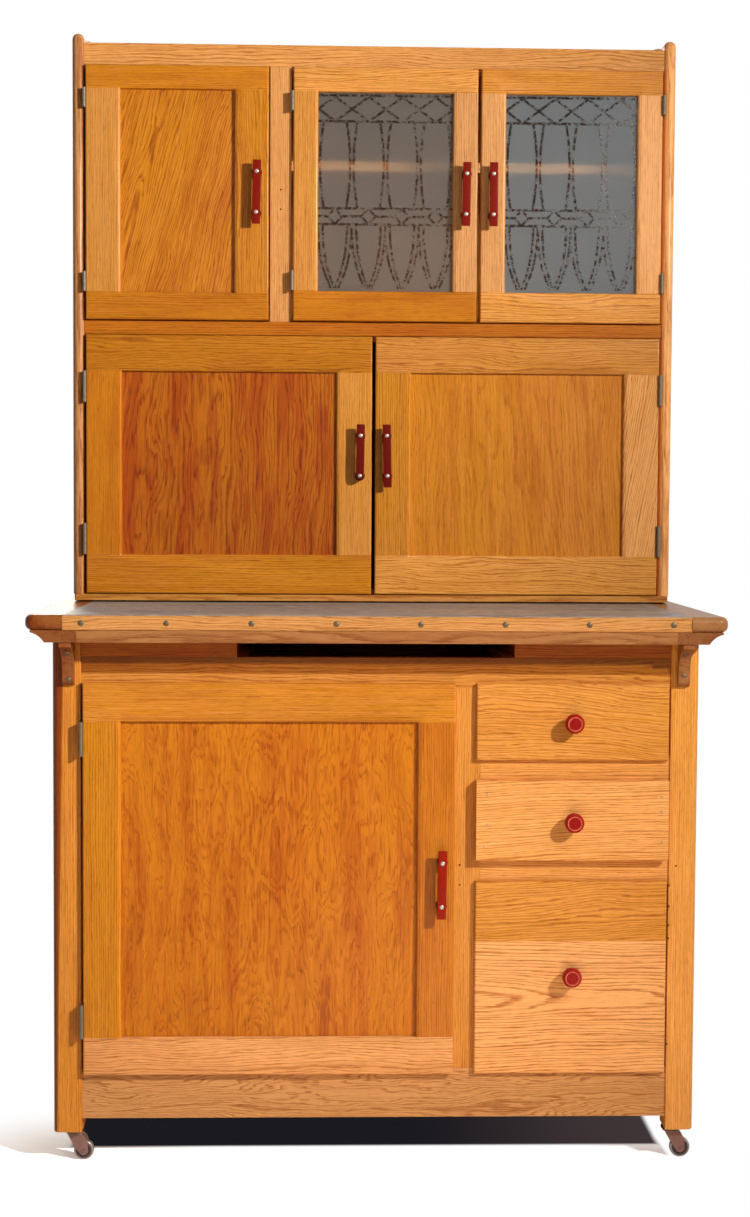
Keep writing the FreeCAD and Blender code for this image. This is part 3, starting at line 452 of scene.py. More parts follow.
def plain_material(name, rgb, metallic, roughness, spread=0.12, scale=60.0, level=0.5):
    """A metal or paint with slow changes of colour and a little uneven polish."""
    material, wire = new_material(name)
    place = wire.node("TexCoord", output="Object")
    cloud = place.stretched(scale, scale, scale).noise(3.0, 0.6) - 0.5
    fine = place.stretched(scale * 9, scale * 9, scale * 9).noise(2.0, 0.6) - 0.5
    base = wire.colour(rgb).scaled(cloud * spread * 2 + fine * spread + 1.0)
    shader = wire.node("BsdfPrincipled", None, {
        "Base Color": base, "Metallic": metallic, "Roughness": cloud * 0.15 + roughness,
        "Specular IOR Level": level})
    finish_material(wire, shader)
    return material


# Dark putty in the nail holes; on the catch holes the same colour stands for the holes' shade.
dark_putty_and_hole_shade = plain_material("dark putty", (0.035, 0.014, 0.008), 0.0, 0.7, 0.3, level=0.05)
# Radius of a head and how far it stands out.
NAIL = (1.5 * MM, 0.12 * MM)
set_heads("front_frame_nails", "cabinet", "oak", dark_putty_and_hole_shade, front_frame,
          ((126.5, 457.0), (126.5, 426.5)), *NAIL)
set_heads("right_post_nails", "cabinet", "oak", dark_putty_and_hole_shade, side_pieces[1],
          ((445.5, 426.0), (445.5, 394.0), (445.5, 365.0), (445.5, 345.0), (445.5, 181.5),
           (455.5, 456.0)), *NAIL)


# ---------------------------------------------------------------- inside of the base

# A thin back, a partition, the floor and shelf boards and the runners that the drawers slide on,
# all of oak, plainer than the front and fixed behind it.
# Width of the soft edge of a painted light on a board's front edge.
PAINTED_LIGHT_EDGE = 2 * MM


def kept_oak(node, along, tone=(0.3, 0.1, 1.0), cut=STRAIGHT, seed=1.0, painted_light=None):
    """A solid whose shape is right already takes oak whose grain runs along one axis.

    The last argument gives a depth and a shade: in front of that depth the wood is painted paler, a
    painted light.
    """
    low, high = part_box(node)
    centre = (low + high) / 2
    order = axis_order(low, high, along)

    def from_place(wire):
        place = wire.node("TexCoord", output="Object").moved((-centre.x, -centre.y, -centre.z))
        grain = wire.vector(*(place.part("XYZ"[axis]) for axis in order))
        shade = tone[2]
        if painted_light:
            depth = place.part("Y") + centre.y
            shade = depth.ramp(painted_light[0], painted_light[0] + PAINTED_LIGHT_EDGE, painted_light[1], tone[2])
        return [grain, wire.vector(*cut[0]), wire.vector(*cut[1]),
                wire.vector(tone[0], tone[1], shade), wire.vector(cut[2], 0.0, seed)]

    keep(node, make_oak(node + " oak", from_place))


def keep(node, material):
    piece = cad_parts[node]
    piece.data.materials.clear()
    piece.data.materials.append(material)


kept_oak("base_back", X, (0.2, 0.3, 0.9), ARCHES, 12.0)
kept_oak("base_partition", Z, (0.3, 0.1, 0.9), ARCHES, 13.0)
kept_oak("base_shelves", X, (0.3, 0.1, 0.9), ARCHES, 14.0)
kept_oak("base_runners", Y, (0.3, 0.1, 0.8), STRAIGHT, 15.0)


# ---------------------------------------------------------------- corbels

# Two sawn brackets with a hollow front under the worktop, each screwed to its post with two
# round-headed screws.
def merged_copy(node):
    """A node's solids as closed meshes that share no corner, their flat faces whole again."""
    mesh = bmesh.new()
    mesh.from_mesh(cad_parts[node].data)
    bmesh.ops.remove_doubles(mesh, verts=mesh.verts, dist=0.002 * MM)
    for solid in connected(mesh.faces, faces_beside):
        bmesh.ops.split(mesh, geom=solid)
    bmesh.ops.dissolve_limit(mesh, angle_limit=math.radians(0.5), verts=mesh.verts,
                             edges=mesh.edges)
    return mesh


def connected(elements, beside):
    """Lists of the elements that hang together."""
    waiting = set(elements)
    found = []
    while waiting:
        group = [waiting.pop()]
        for element in group:
            for other in beside(element):
                if other in waiting:
                    waiting.discard(other)
                    group.append(other)
        found.append(group)
    return found


def faces_beside(face):
    return [other for edge in face.edges if edge.is_manifold for other in edge.link_faces]


def vertices_beside(vertex):
    return [edge.other_vert(vertex) for edge in vertex.link_edges]


def separate_boards(mesh):
    """The boards of a mesh as lists of vertices, from the floor up and from left to right."""
    def place(board):
        low, high = bounds_of(board)
        centre = (low + high) / 2
        return [round(centre[axis], 3) for axis in (Z, X, Y)]

    return sorted(connected(mesh.verts, vertices_beside), key=place)


def dressed(node, name, body, seed, looks, ease=0.35 * MM):
    """A copy of an oak node with eased edges and its own grain in each board.

    looks gives (tone, cut, slant) for the boards from the floor up and from left to right.
    """
    mesh = merged_copy(node)
    ease_edges(mesh, ease)
    layers = new_layers(mesh)
    chance = random.Random(seed)
    for board, (tone, cut, slant) in zip(separate_boards(mesh), looks, strict=True):
        low, high = bounds_of(board)
        spans = list(high - low)
        lay_board(board, layers, spans.index(max(spans)), tone, cut, slant,
                  chance.choice((-1, 1)), chance.uniform(0, 50))
    piece = new_piece(name, mesh, oak)
    settle(piece, body, "oak", node)
    return piece


CORBEL_SCREW = (3.6 * MM, 1.3 * MM)
brackets = dressed("corbels", "corbel_brackets", "cabinet", 16,
                   (((1.0, 0.72, 0.59), PLAIN, 0.0), ((1.0, 0.59, 0.63), PLAIN, 0.0)))
screw_steel = plain_material("screw steel", (0.42, 0.36, 0.29), 0.9, 0.30)
dull_screw = plain_material("dull screw", (0.13, 0.092, 0.052), 0.6, 0.45, 0.3, 200.0, 0.2)
set_heads("corbel_screws", "cabinet", "hinge steel", dull_screw, brackets,
          ((-461.5, 740.0), (-461.5, 779.0), (461.5, 747.5), (461.5, 780.0)),
          *CORBEL_SCREW)


# ---------------------------------------------------------------- casters

# Pressed steel forks, browned with rust, that swivel on a black plate under each post and carry
# a small iron wheel, polished by use round its rim.
plate_black = plain_material("black plate", (0.012, 0.008, 0.010), 0.2, 0.5, 0.2, 90.0)
fork_rust = plain_material("rusty steel", (0.22, 0.115, 0.10), 0.25, 0.55, 0.35, 110.0, 0.2)
wheel_iron = plain_material("wheel iron", (0.26, 0.20, 0.19), 0.6, 0.36, 0.3, 110.0)
wheel_dark = plain_material("dark wheel side", (0.06, 0.035, 0.032), 0.4, 0.55, 0.3, 110.0)
WHEEL_RIM = 10.5 * MM


def faces_by(mesh, rule):
    """Give each face the material that rule picks from its middle."""
    for face in mesh.faces:
        face.material_index = rule(face.calc_center_median())


for corner in ("front_left", "front_right", "rear_left", "rear_right"):
    keep(corner + "_caster_fork", fork_rust)
    node = corner + "_caster_wheel"
    low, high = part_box(node)
    hub = (low + high) / 2
    wheel = merged_copy(node)
    faces_by(wheel, lambda spot: int(math.hypot(spot.x - hub.x, spot.z - hub.z) < WHEEL_RIM))
    settle(new_piece(node + "_iron", wheel, wheel_iron, wheel_dark), node, "caster steel", node)
keep("caster_sockets", plate_black)


# ---------------------------------------------------------------- worktop

# A wide board covered with a zinc sheet; breadboard ends with a bullnosed edge, a front nosing
# held by eight round-headed screws, and a frame of strips and cleats below it.
ZINC_GREY = (0.28, 0.315, 0.34)
ZINC_BROWN = (0.26, 0.205, 0.155)
NOSING_FRONT = 1.6 * MM
NOSING_SCREWS = 8
NOSING_SCREW = (4.4 * MM, 1.55 * MM)
SCREW_SPACING = 125.0


def stained_zinc(name):
    """Grey sheet, stained brown in streaks along its length and scratched."""
    material, wire = new_material(name)
    place = wire.node("TexCoord", output="Object")
    streak = place.stretched(3.0, 20.0, 20.0).noise(3.0, 0.65) - 0.5
    scratch = place.stretched(34.0, 62.0, 62.0).noise(3.0, 0.7) - 0.5
    brown = (streak * 2.6 + place.part("X") * 0.25 + 0.62).share()
    base = wire.colour(ZINC_GREY).mixed(brown, wire.colour(ZINC_BROWN))
    base = base.scaled((scratch * 2.0 + streak * 2.4 + 1.0).most(0.3))
    shader = wire.node("BsdfPrincipled", None, {
        "Base Color": base, "Metallic": 0.25, "Roughness": streak * 0.3 + 0.5,
        "Specular IOR Level": 0.2})
    finish_material(wire, shader)
    return material


keep("worktop_sheet", stained_zinc("zinc"))
kept_oak("worktop_board", X, (0.3, 0.2, 1.0), STRAIGHT, 7.0)
dressed("worktop_end_mouldings", "breadboard_ends", "worktop", 42,
        (((0.60, 0.76, 0.62), END_GRAIN, 0.0), ((1.0, 0.18, 0.46), END_GRAIN, 0.0)))
low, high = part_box("worktop_nosing")
nosing = Boards(41)
nosing.add((low.x, low.y + NOSING_FRONT, low.z), high, X, (0.75, -0.10, 0.71), WAVY,
           soft=("-y+z", "-y-z"))
nosing_piece = nosing.make("nosing_board", "worktop", "worktop_nosing")
nosing_middle = (low.z + high.z) / 2 / MM
set_heads("nosing_screws", "worktop", "hinge steel", dull_screw, nosing_piece,
          [((place - (NOSING_SCREWS - 1) / 2) * SCREW_SPACING, nosing_middle)
           for place in range(NOSING_SCREWS)], *NOSING_SCREW)
CLEAT_TONE = (1.0, 0.70, 0.52)
STRIP_TONE = (1.0, 0.45, 0.58)
dressed("worktop_underframe", "strips_and_cleats", "worktop", 43,
        ((CLEAT_TONE, PLAIN, 0.0), (CLEAT_TONE, PLAIN, 0.0), (CLEAT_TONE, END_GRAIN, 0.0),
         (STRIP_TONE, STRAIGHT, 0.0), (STRIP_TONE, STRAIGHT, 0.0), (CLEAT_TONE, END_GRAIN, 0.0)))


# ---------------------------------------------------------------- drawers

# A thick front, thin sides, back and bottom, lighter inside; the deep drawer's front is two
# boards glued edge to edge.  Each has a turned knob painted red with a worn ring in its face.
BOWED = ((0.030, 0.130, 0.020), (0.0040, 0.022, 0.90), 0.12)
EDGES_TOP = ("-y+z", "-x-y", "+x-y")
EDGES_BOTTOM = ("-y-z", "-x-y", "+x-y")
FRONT_EDGES = {"whole": EDGES_TOP + ("-y-z",), "upper": EDGES_TOP, "lower": EDGES_BOTTOM,
               "square": ()}
KNOB_RED = (0.32, 0.009, 0.007)
WORN_RED = (0.72, 0.22, 0.13)
RING = 10 * MM
BARE = (0.8, 0.0, 0.95)
# How far the front stands past the box on its left, below and above; then the box itself.
LIP_LEFT = 8.5 * MM
LIP_BELOW = 7.5 * MM
LIP_ABOVE = 13 * MM
WALL = 12 * MM
BOX_BOTTOM = (10 * MM, 16 * MM)
DRAWER_SCREW = (2.6 * MM, 0.5 * MM)


def enamel(name, middle):
    """Red enamel on a turned knob, worn to a pale line round its face."""
    material, wire = new_material(name)
    place = wire.node("TexCoord", output="Object").moved((-middle.x, -middle.y, -middle.z))
    across, up = place.part("X"), place.part("Z")
    from_axis = (across * across + up * up) ** 0.5
    cloud = place.stretched(150.0, 150.0, 150.0).noise(2.0, 0.6) - 0.5
    line = abs(from_axis - RING).ramp(0.5 * MM, 1.1 * MM, 0.8, 0.0) * (cloud * 3.0 + 0.8).share()
    face = from_axis.ramp(RING - 1.0 * MM, RING, 0.85, 1.0)
    base = wire.colour(KNOB_RED).scaled((cloud * 0.3 + 1.0) * face)
    base = base.mixed(line, wire.colour(WORN_RED))
    shader = wire.node("BsdfPrincipled", None, {
        "Base Color": base, "Roughness": 0.22, "Specular IOR Level": 0.08})
    finish_material(wire, shader)
    return material


def drawer(name, front_depth, fronts, seed):
    """fronts lists (bottom share, top share, which, tone, cut, slant) of the front's boards."""
    low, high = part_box(name)
    wood = Boards(seed)
    front_back = low.y + front_depth * MM
    height = high.z - low.z
    for bottom, top, which, tone, cut, slant in fronts:
        wood.add((low.x, low.y, low.z + height * bottom), (high.x, front_back, low.z + height * top),
                 X, tone, cut, slant, soft=FRONT_EDGES[which])
    box_low = Vector((low.x + LIP_LEFT, front_back, low.z + LIP_BELOW))
    box_high = Vector((high.x, high.y, high.z - LIP_ABOVE))
    inside_x = (box_low.x + WALL, box_high.x - WALL)
    bottom_z = (box_low.z + BOX_BOTTOM[0], box_low.z + BOX_BOTTOM[1])
    wood.add(box_low, (inside_x[0], box_high.y, box_high.z), Y, BARE)
    wood.add((inside_x[1], box_low.y, box_low.z), box_high, Y, BARE)
    wood.add((inside_x[0], box_high.y - 2 * WALL, bottom_z[1]),
             (inside_x[1], box_high.y - WALL, box_high.z), X, BARE)
    wood.add((inside_x[0], box_low.y, bottom_z[0]), (inside_x[1], box_high.y, bottom_z[1]), X,
             BARE)
    made = wood.make(name + "_boards", name, name)
    node = name + "_knob"
    low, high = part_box(node)
    middle = (low + high) / 2
    turned = new_piece(node + "_turned", merged_copy(node), enamel(name + " enamel", middle))
    settle(turned, name, "red pulls", node)
    return made


drawer("top_drawer", 19, ((0, 1, "whole", (0.29, 0.0, 0.98), WAVY, -3.0),), 71)
flat_front = drawer("middle_drawer", 16, ((0, 1, "square", (0.75, -0.10, 1.05), BOWED, 3.0),), 72)
drawer("bottom_drawer", 19, ((0, 0.69, "lower", (1.0, -0.02, 0.97), ARCHES, 0.0),
                             (0.69, 1, "upper", (0.26, 0.0, 0.95), WAVY, 2.0)), 73)
filled_heads = plain_material("filled screw heads", (0.52, 0.30, 0.15), 0.0, 0.6, 0.5, 400.0,
                              0.2)
set_heads("middle_drawer_screws", "middle_drawer", "hinge steel", filled_heads, flat_front,
          ((166.0, 567.0), (166.5, 521.0), (162.0, 489.0), (430.5, 563.0), (430.0, 541.5),
           (431.0, 494.5)), *DRAWER_SCREW)


# ---------------------------------------------------------------- doors

# Each door has rails across its full width and stiles between them with a small moulding run
# round the opening, and a thin panel held in grooves; it hangs on two steel butt hinges.
BLOTCHED = ((0.020, 0.060, 0.080), (0.0056, 0.080, 0.95), 0.34)
SLANTED = ((0.050, 0.060, 0.020), (0.0042, 0.060, 0.95), 0.30)
FINE = ((0.030, 0.020, 0.090), (0.0048, 0.050, 0.38), 0.26)
SLOPING = ((0.110, 0.080, 0.020), (0.0036, 0.020, 0.85), 0.12)
ROTARY = ((0.020, 0.020, 0.070), (0.0085, 0.260, 0.62), 0.28)
hinge_steel = plain_material("hinge steel", (0.15, 0.118, 0.078), 0.4, 0.5, 0.35, 150.0)


def door_frame(name, seed, bottom_rail, left_stile, right_stile, top_rail):
    dressed(name + "_frame", name + "_rails_and_stiles", name, seed,
            (bottom_rail, left_stile, right_stile, top_rail))
    keep(name + "_hinge_leaves", hinge_steel)


def door_panel(name, tone, cut, slant, seed):
    low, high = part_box(name + "_panel")
    wood = Boards(seed)
    wood.add(low, high, Z, tone, cut, slant)
    wood.make(name + "_thin_panel", name, name + "_panel")


keep("hinge_post_leaves", hinge_steel)
# Upper left cupboard door: its panel is figured with slanting lines.
door_frame("upper_left_door", 21, ((0.01, 0.39, 1.03), STRAIGHT, 0.0),
           ((0.41, -0.10, 0.86), PLAIN, 0.0), ((0.12, 0.30, 1.03), WAVY, 0.0),
           ((0.02, 0.29, 1.06), PLAIN, 0.0))
door_panel("upper_left_door", (0.06, 0.30, 1.06), SLANTED, 14.0, 22)
# Glazed doors: narrower stiles round an etched pane.
door_frame("left_glass_door", 23, ((0.01, 0.50, 1.15), PLAIN, 0.0),
           ((0.36, 0.0, 0.91), PLAIN, 0.0), ((1.0, -0.06, 0.80), STRAIGHT, 0.0),
           ((0.47, -0.10, 1.03), WAVY, 0.0))
door_frame("right_glass_door", 24, ((0.46, -0.10, 1.11), WAVY, 0.0),
           ((1.0, -0.08, 0.89), PLAIN, 0.0), ((1.0, -0.10, 1.04), PLAIN, 0.0),
           ((0.25, 0.10, 1.10), STRAIGHT, 0.0))
# Lower doors of the hutch: wide panels, the left one dark and blotched, the right one fine.
door_frame("lower_left_door", 25, ((0.08, 0.36, 1.10), STRAIGHT, 0.0),
           ((-0.10, 0.38, 1.10), PLAIN, 0.0), ((0.31, 0.05, 0.95), PLAIN, 0.0),
           ((0.0, 0.32, 0.92), WAVY, 0.0))
door_panel("lower_left_door", (-0.10, 0.78, 1.18), BLOTCHED, 2.0, 26)
door_frame("lower_right_door", 27, ((0.34, -0.10, 0.99), WAVY, 0.0),
           ((0.14, 0.15, 1.0), STRAIGHT, 0.0), ((0.72, -0.10, 1.01), SLOPING, 10.0),
           ((0.32, 0.17, 0.97), WAVY, 0.0))
door_panel("lower_right_door", (0.08, 0.32, 1.12), FINE, -3.0, 28)
# Cupboard door of the base: a large panel of rotary-cut veneer.
door_frame("base_door", 29, ((0.98, 0.10, 0.92), WAVY, 0.0),
           ((0.02, 0.15, 0.99), STRAIGHT, 0.0), ((0.04, 0.52, 1.13), STRAIGHT, 0.0),
           ((0.10, 0.20, 1.01), PLAIN, 0.0))
door_panel("base_door", (-0.10, 0.50, 1.18), ROTARY, 0.0, 30)


# ---------------------------------------------------------------- pulls

# A flat bar on two round posts, painted red and darker on the posts, partly their own red and partly
# painted shade, held by a domed screw at each post; most hang a little out of plumb, and one has
# lost its lower end.
pull_red = plain_material("red paint", (0.20, 0.009, 0.004), 0.0, 0.34, 0.12, 40.0, 0.06)
dull_red = plain_material("dull red paint", (0.13, 0.006, 0.003), 0.0, 0.34, 0.12, 40.0, 0.06)
bright_red = plain_material("bright red paint", (0.26, 0.011, 0.004), 0.0, 0.34, 0.12, 40.0, 0.06)
# The posts' darker red is partly their paint and partly painted shade.
post_red_and_shade = plain_material("dark red posts", (0.085, 0.006, 0.006), 0.0, 0.30, 0.15, 60.0, 0.1)
BAR = (13.5 * MM, 4.5 * MM)
POST_RADIUS = 8 * MM
POST_SPACE = 33 * MM
DOME = 1.5 * MM
PULL_SCREW = 3.4 * MM
BAR_ROUND = 0.9 * MM
POST_END_ROUND = 4.0 * MM
BARE_POST = 0.2 * MM
LYING = Matrix.Rotation(math.radians(90), 4, "X")


def bar_pull(door, paint, lean, broken=False):
    """lean is how far the bar turns from plumb in degrees."""
    low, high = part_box(door + "_pull")
    middle = Vector(((low.x + high.x) / 2, 0.0, (low.z + high.z) / 2))
    bar_front = low.y + DOME
    turn = (Matrix.Translation(middle) @ Matrix.Rotation(math.radians(lean), 4, "Y")
            @ Matrix.Translation(-middle))
    bottom = middle.z - POST_SPACE if broken else low.z
    bar = bmesh.new()
    size = Matrix.Diagonal((BAR[0], BAR[1], high.z - bottom, 1.0))
    centre = Vector((middle.x, bar_front + BAR[1] / 2, (high.z + bottom) / 2))
    bmesh.ops.create_cube(bar, size=1.0, matrix=turn @ Matrix.Translation(centre) @ size)
    bmesh.ops.bevel(bar, geom=bar.edges[:], offset=BAR_ROUND, segments=3, profile=0.5,
                    affect="EDGES", clamp_overlap=True, material=-1)
    settle(new_piece(door + "_bar_pull", bar, paint), door, "red pulls", door + "_pull")
    posts = bmesh.new()
    screws = bmesh.new()
    for side in (-1, 1):
        bare = broken and side < 0
        front = bar_front + (BARE_POST if bare else BAR[1] / 2)
        length = high.y - front
        spot = Vector((middle.x, high.y - length / 2, middle.z + side * POST_SPACE))
        made = bmesh.ops.create_cone(posts, cap_ends=True, segments=32, radius1=POST_RADIUS,
                                     radius2=POST_RADIUS, depth=length,
                                     matrix=turn @ Matrix.Translation(spot) @ LYING)
        rim = [edge for vertex in made["verts"] for edge in vertex.link_edges
               if all(end.co.y < front + 0.1 * MM for end in edge.verts)]
        bmesh.ops.bevel(posts, geom=list(set(rim)), offset=POST_END_ROUND, segments=6, profile=0.5,
                        affect="EDGES", clamp_overlap=True, material=-1)
        spot = Vector((middle.x, bar_front, middle.z + side * POST_SPACE))
        flat = Matrix.Diagonal((PULL_SCREW, DOME, PULL_SCREW, 1.0))
        bmesh.ops.create_uvsphere(screws, u_segments=20, v_segments=12, radius=1.0,
                                  matrix=turn @ Matrix.Translation(spot) @ flat)
    settle(new_piece(door + "_pull_posts", posts, post_red_and_shade), door, "red pulls")
    settle(new_piece(door + "_pull_screws", screws, screw_steel, smooth_angle=60.0), door,
           "hinge steel")


bar_pull("upper_left_door", pull_red, 1.0)
bar_pull("left_glass_door", pull_red, 0.8)
bar_pull("right_glass_door", pull_red, 0.0)
bar_pull("lower_left_door", dull_red, 0.9, broken=True)
bar_pull("lower_right_door", dull_red, -1.2)
bar_pull("base_door", bright_red, 0.8)


# ---------------------------------------------------------------- etched panes

# Frosted glass with a clear line pattern: a chain of diamonds, tall bays with bowed sides, a band
# with small diamonds and interlaced arches that point down.  The etching has worn in places.
BAYS = 4
IN_GROOVE = 7.6 * MM
FLECK = (0.62, 0.68, 0.72)

# Line, bands and arch are in mm down the pane.  The two ends say how steeply the distance to a
# line grows past the end of its band.
LINE = 2.1
DIAMOND_BAND = (6.0, 46.0)
MIDDLE_BAND = (188.0, 214.0)
ARCH_HEIGHT = 105.0
BAND_END = 400.0
BAY_END = 4000.0


def outside(share):
    """Zero inside a band, large outside it, so that a line ends with its band."""
    return ((share - 1.0).most(0.0) + (0.0 - share).most(0.0)) * BAY_END


def etched_glass(name, tint, wear):
    material, wire = new_material(name)
    place = wire.node("Attribute", {"attribute_name": "pane"}, output="Vector")
    across, down, bay = place.part("X"), place.part("Y"), place.part("Z")
    side = abs((across / bay).fraction() - 0.5)
    wobble = place.stretched(0.16, 0.16, 0.16).noise(3.0, 0.7) - 0.5

    def share(start, end):
        return (down - start) / (end - start)

    band = abs(share(*DIAMOND_BAND) * 2.0 - 1.0)
    diamonds = abs(side * 2.0 + band - 1.0) * 17.0 + (band - 1.0).most(0.0) * BAND_END
    tall = share(DIAMOND_BAND[1], MIDDLE_BAND[0])
    bow = 1.0 - (tall * 2.0 - 1.0) ** 2.0
    bowed = abs(side - 0.33 - bow * 0.12) * bay + outside(tall)
    middle = share(*MIDDLE_BAND)
    centre_line = abs(middle - 0.5) * 26.0 + (0.2 - side).most(0.0) * BAND_END
    small = abs(side * 4.4 + abs(middle * 2.0 - 1.0) - 0.95) * 10.0
    small = small.most((abs(middle - 0.5) - 0.5).most(0.0) * BAND_END)
    low_part = (down - MIDDLE_BAND[1]) / ARCH_HEIGHT
    arch = (low_part.share() ** 2.4) * 0.36
    inner_arch = abs(side - 0.36 + arch) * bay + outside(low_part)
    outer_arch = abs(side - 0.50 + arch * 1.1) * bay + outside(low_part)
    level_lines = abs(down - DIAMOND_BAND[1])
    for level in (DIAMOND_BAND[0] - 2.0, MIDDLE_BAND[0], MIDDLE_BAND[1]):
        level_lines = level_lines.least(abs(down - level))
    nearest = diamonds.least(bowed).least(centre_line).least(small)
    nearest = nearest.least(inner_arch).least(outer_arch).least(level_lines)
    line = (nearest + wobble * 2.2).ramp(LINE * 0.6, LINE * 1.3, 1.0, 0.0)
    gaps = place.stretched(0.13, 0.13, 0.13).noise(4.0, 0.8)
    clear = line * (gaps - (down * 0.0004 + across * 0.0006 - 0.09) * wear).ramp(0.44, 0.50)
    speck = place.stretched(0.42, 0.42, 0.42).noise(2.0, 0.8)
    speck = (speck + (down * 0.0002 + across * 0.0005) * wear).ramp(0.70, 0.74)
    cloud = place.stretched(0.02, 0.02, 0.02).noise(2.0) - 0.5
    grit = place.stretched(0.9, 0.9, 0.9).noise(2.0, 0.7) - 0.5
    haze_colour = wire.colour(tint).scaled(cloud * 0.25 + grit * 0.5 + 1.0)
    haze_colour = haze_colour.mixed(speck, wire.colour(FLECK))
    haze = wire.node("BsdfPrincipled", None, {
        "Base Color": haze_colour, "Roughness": 0.5, "Specular IOR Level": 0.1})
    blurred = wire.node("BsdfPrincipled", None, {
        "Base Color": (0.85, 0.9, 0.9, 1.0), "Roughness": 0.28, "Transmission Weight": 1.0,
        "IOR": 1.2, "Specular IOR Level": 0.2})
    lit = wire.node("BsdfTransparent", None, {"Color": (0.7, 0.72, 0.72, 1.0)})
    shadow_ray = wire.node("LightPath", output="Is Shadow Ray")
    through = wire.node("MixShader", None, {0: shadow_ray, 1: blurred, 2: lit})
    frosted = wire.node("MixShader", None, {0: 0.6, 1: haze, 2: through})
    # The clear lines' brown tint darkens what is seen through them: painted shade of the cupboard
    # behind.
    polished = wire.node("BsdfPrincipled", None, {
        "Base Color": (0.30, 0.20, 0.13, 1.0), "Roughness": 0.05, "Transmission Weight": 1.0,
        "IOR": 1.3})
    finish_material(wire, wire.node("MixShader", None, {0: clear, 1: frosted, 2: polished}))
    return material


# The panes' haze tints differ, warmer on the left and bluer on the right: painted light, standing
# for what each pane passes and reflects.
for door, tint, wear in (("left_glass_door", (0.180, 0.160, 0.140), 0.25),
                         ("right_glass_door", (0.215, 0.240, 0.255), 0.40)):
    low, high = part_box(door + "_glass")
    hidden = Vector((IN_GROOVE, 0, IN_GROOVE))
    seen_low, seen_high = low + hidden, high - hidden
    pane = bmesh.new()
    size = Matrix.Diagonal((*(high - low), 1.0))
    bmesh.ops.create_cube(pane, size=1.0, matrix=Matrix.Translation((low + high) / 2) @ size)
    pattern = pane.verts.layers.float_vector.new("pane")
    bay = (seen_high.x - seen_low.x) / BAYS / MM
    for vertex in pane.verts:
        vertex[pattern] = ((vertex.co.x - seen_low.x) / MM, (seen_high.z - vertex.co.z) / MM, bay)
    settle(new_piece(door + "_pane", pane, etched_glass(door + " glass", tint, wear)), door,
           "etched glass", door + "_glass")


# ---------------------------------------------------------------- hutch

# Two side boards of solid oak whose front and top edges are rounded over and that rise to the
# back; rails, a stile and a sill between them, with thin stops behind.
for node, tone, seed in (("hutch_side_left", (1.0, 0.24, 0.74), 3),
                         ("hutch_side_right", (1.0, -0.10, 1.20), 8)):
    dressed(node, node + "_board", "cabinet", seed, ((tone, HALF_ARCHES, 0.0),))
SILL_REACH = 4.5 * MM
SILL_THICKNESS = 10.4 * MM
HUTCH_TOP_RAIL = 35 * MM
STOP = 9 * MM
STOP_DEPTH = 8.5 * MM
# Depth in front of which the hutch's shelf and partition are painted pale, as painted light.
PAINTED_LIGHT_DEPTH = 107 * MM
low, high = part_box("hutch_face_frame")
inner = -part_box("hutch_side_left")[1].x
face_y = low.y + SILL_REACH
top_rail = (high.z - HUTCH_TOP_RAIL, high.z)
mid_rail = (1280.5 * MM, 1302.5 * MM)
stile = (-172.5 * MM, -137.5 * MM)
sill_top = low.z + SILL_THICKNESS
stop_y = (high.y - STOP_DEPTH, high.y)
front = Boards(11)
front.add((-inner, face_y, top_rail[0]), (inner, high.y, top_rail[1]), X, (0.62, -0.03, 0.93), WAVY)
front.add((-inner, face_y, mid_rail[0]), (inner, high.y, mid_rail[1]), X, (-0.10, 0.54, 1.12),
          STRAIGHT)
front.add((stile[0], face_y, mid_rail[1]), (stile[1], high.y, top_rail[0]), Z, (0.78, -0.10, 0.81),
          PLAIN)
front.add((low.x, low.y, low.z), (high.x, high.y, sill_top), X, (0.39, 0.08, 0.82), STRAIGHT,
          soft=("-x-y", "+x-y"))
for bottom in (top_rail[0] - STOP, mid_rail[1]):
    for ends in ((-inner, stile[0]), (stile[1], inner)):
        front.add((ends[0], stop_y[0], bottom), (ends[1], stop_y[1], bottom + STOP), X)
for bottom in (mid_rail[0] - STOP, sill_top):
    front.add((-inner, stop_y[0], bottom), (inner, stop_y[1], bottom + STOP), X)
hutch_front = front.make("hutch_front_frame", "cabinet", "hutch_face_frame")
# The two catch holes are flat dark discs: painted shade of the holes.
set_heads("catch_holes", "cabinet", "oak", dark_putty_and_hole_shade, hutch_front,
          ((-155.0, 1519.0), (-155.0, 1487.0)), *NAIL)

# Boards behind and inside the hutch, and the two flat irons that carry it on the base.
kept_oak("hutch_top_board", X, (0.3, 0.1, 0.95), ARCHES, 4.0)
# The front edges of the shelf and partition are painted pale: painted light on the edges seen
# through the panes.
kept_oak("hutch_divisions", X, (1.0, -0.1, 0.8), PLAIN, 5.0, painted_light=(PAINTED_LIGHT_DEPTH, 1.7))
kept_oak("hutch_back", Z, (0.2, 0.3, 0.9), ARCHES, 6.0)
keep("rear_irons", plain_material("black iron", (0.06, 0.055, 0.055), 0.6, 0.5))


# ---------------------------------------------------------------- room, light and camera

# A white floor and room.  The floor shows cast shadow only near the two front feet; under the
# cabinet, where the key lamp doesn't reach, a painted shadow in dark emission stands for the shade,
# and elsewhere it is plain white.
KEY = Vector((1.75, -1.95, 1.97))
KEY_TARGET = (-2.8, -1.6, 1.0)
MIDDLE = (0.0, 0.0, 0.9)
FLOOR_FADE = (0.04, 0.26)
NEAR_WHITE = 0.25
LEFT_FOOT = (-0.47, -0.27)
RIGHT_FOOT = (0.42, -0.27)
RIGHT_END = 0.45
RAIL_SETBACK = 3 * MM
SHADE_EDGE = 0.012
SHADE_ENDS = (-0.476, 0.014)
SHADE_BACK = 0.26
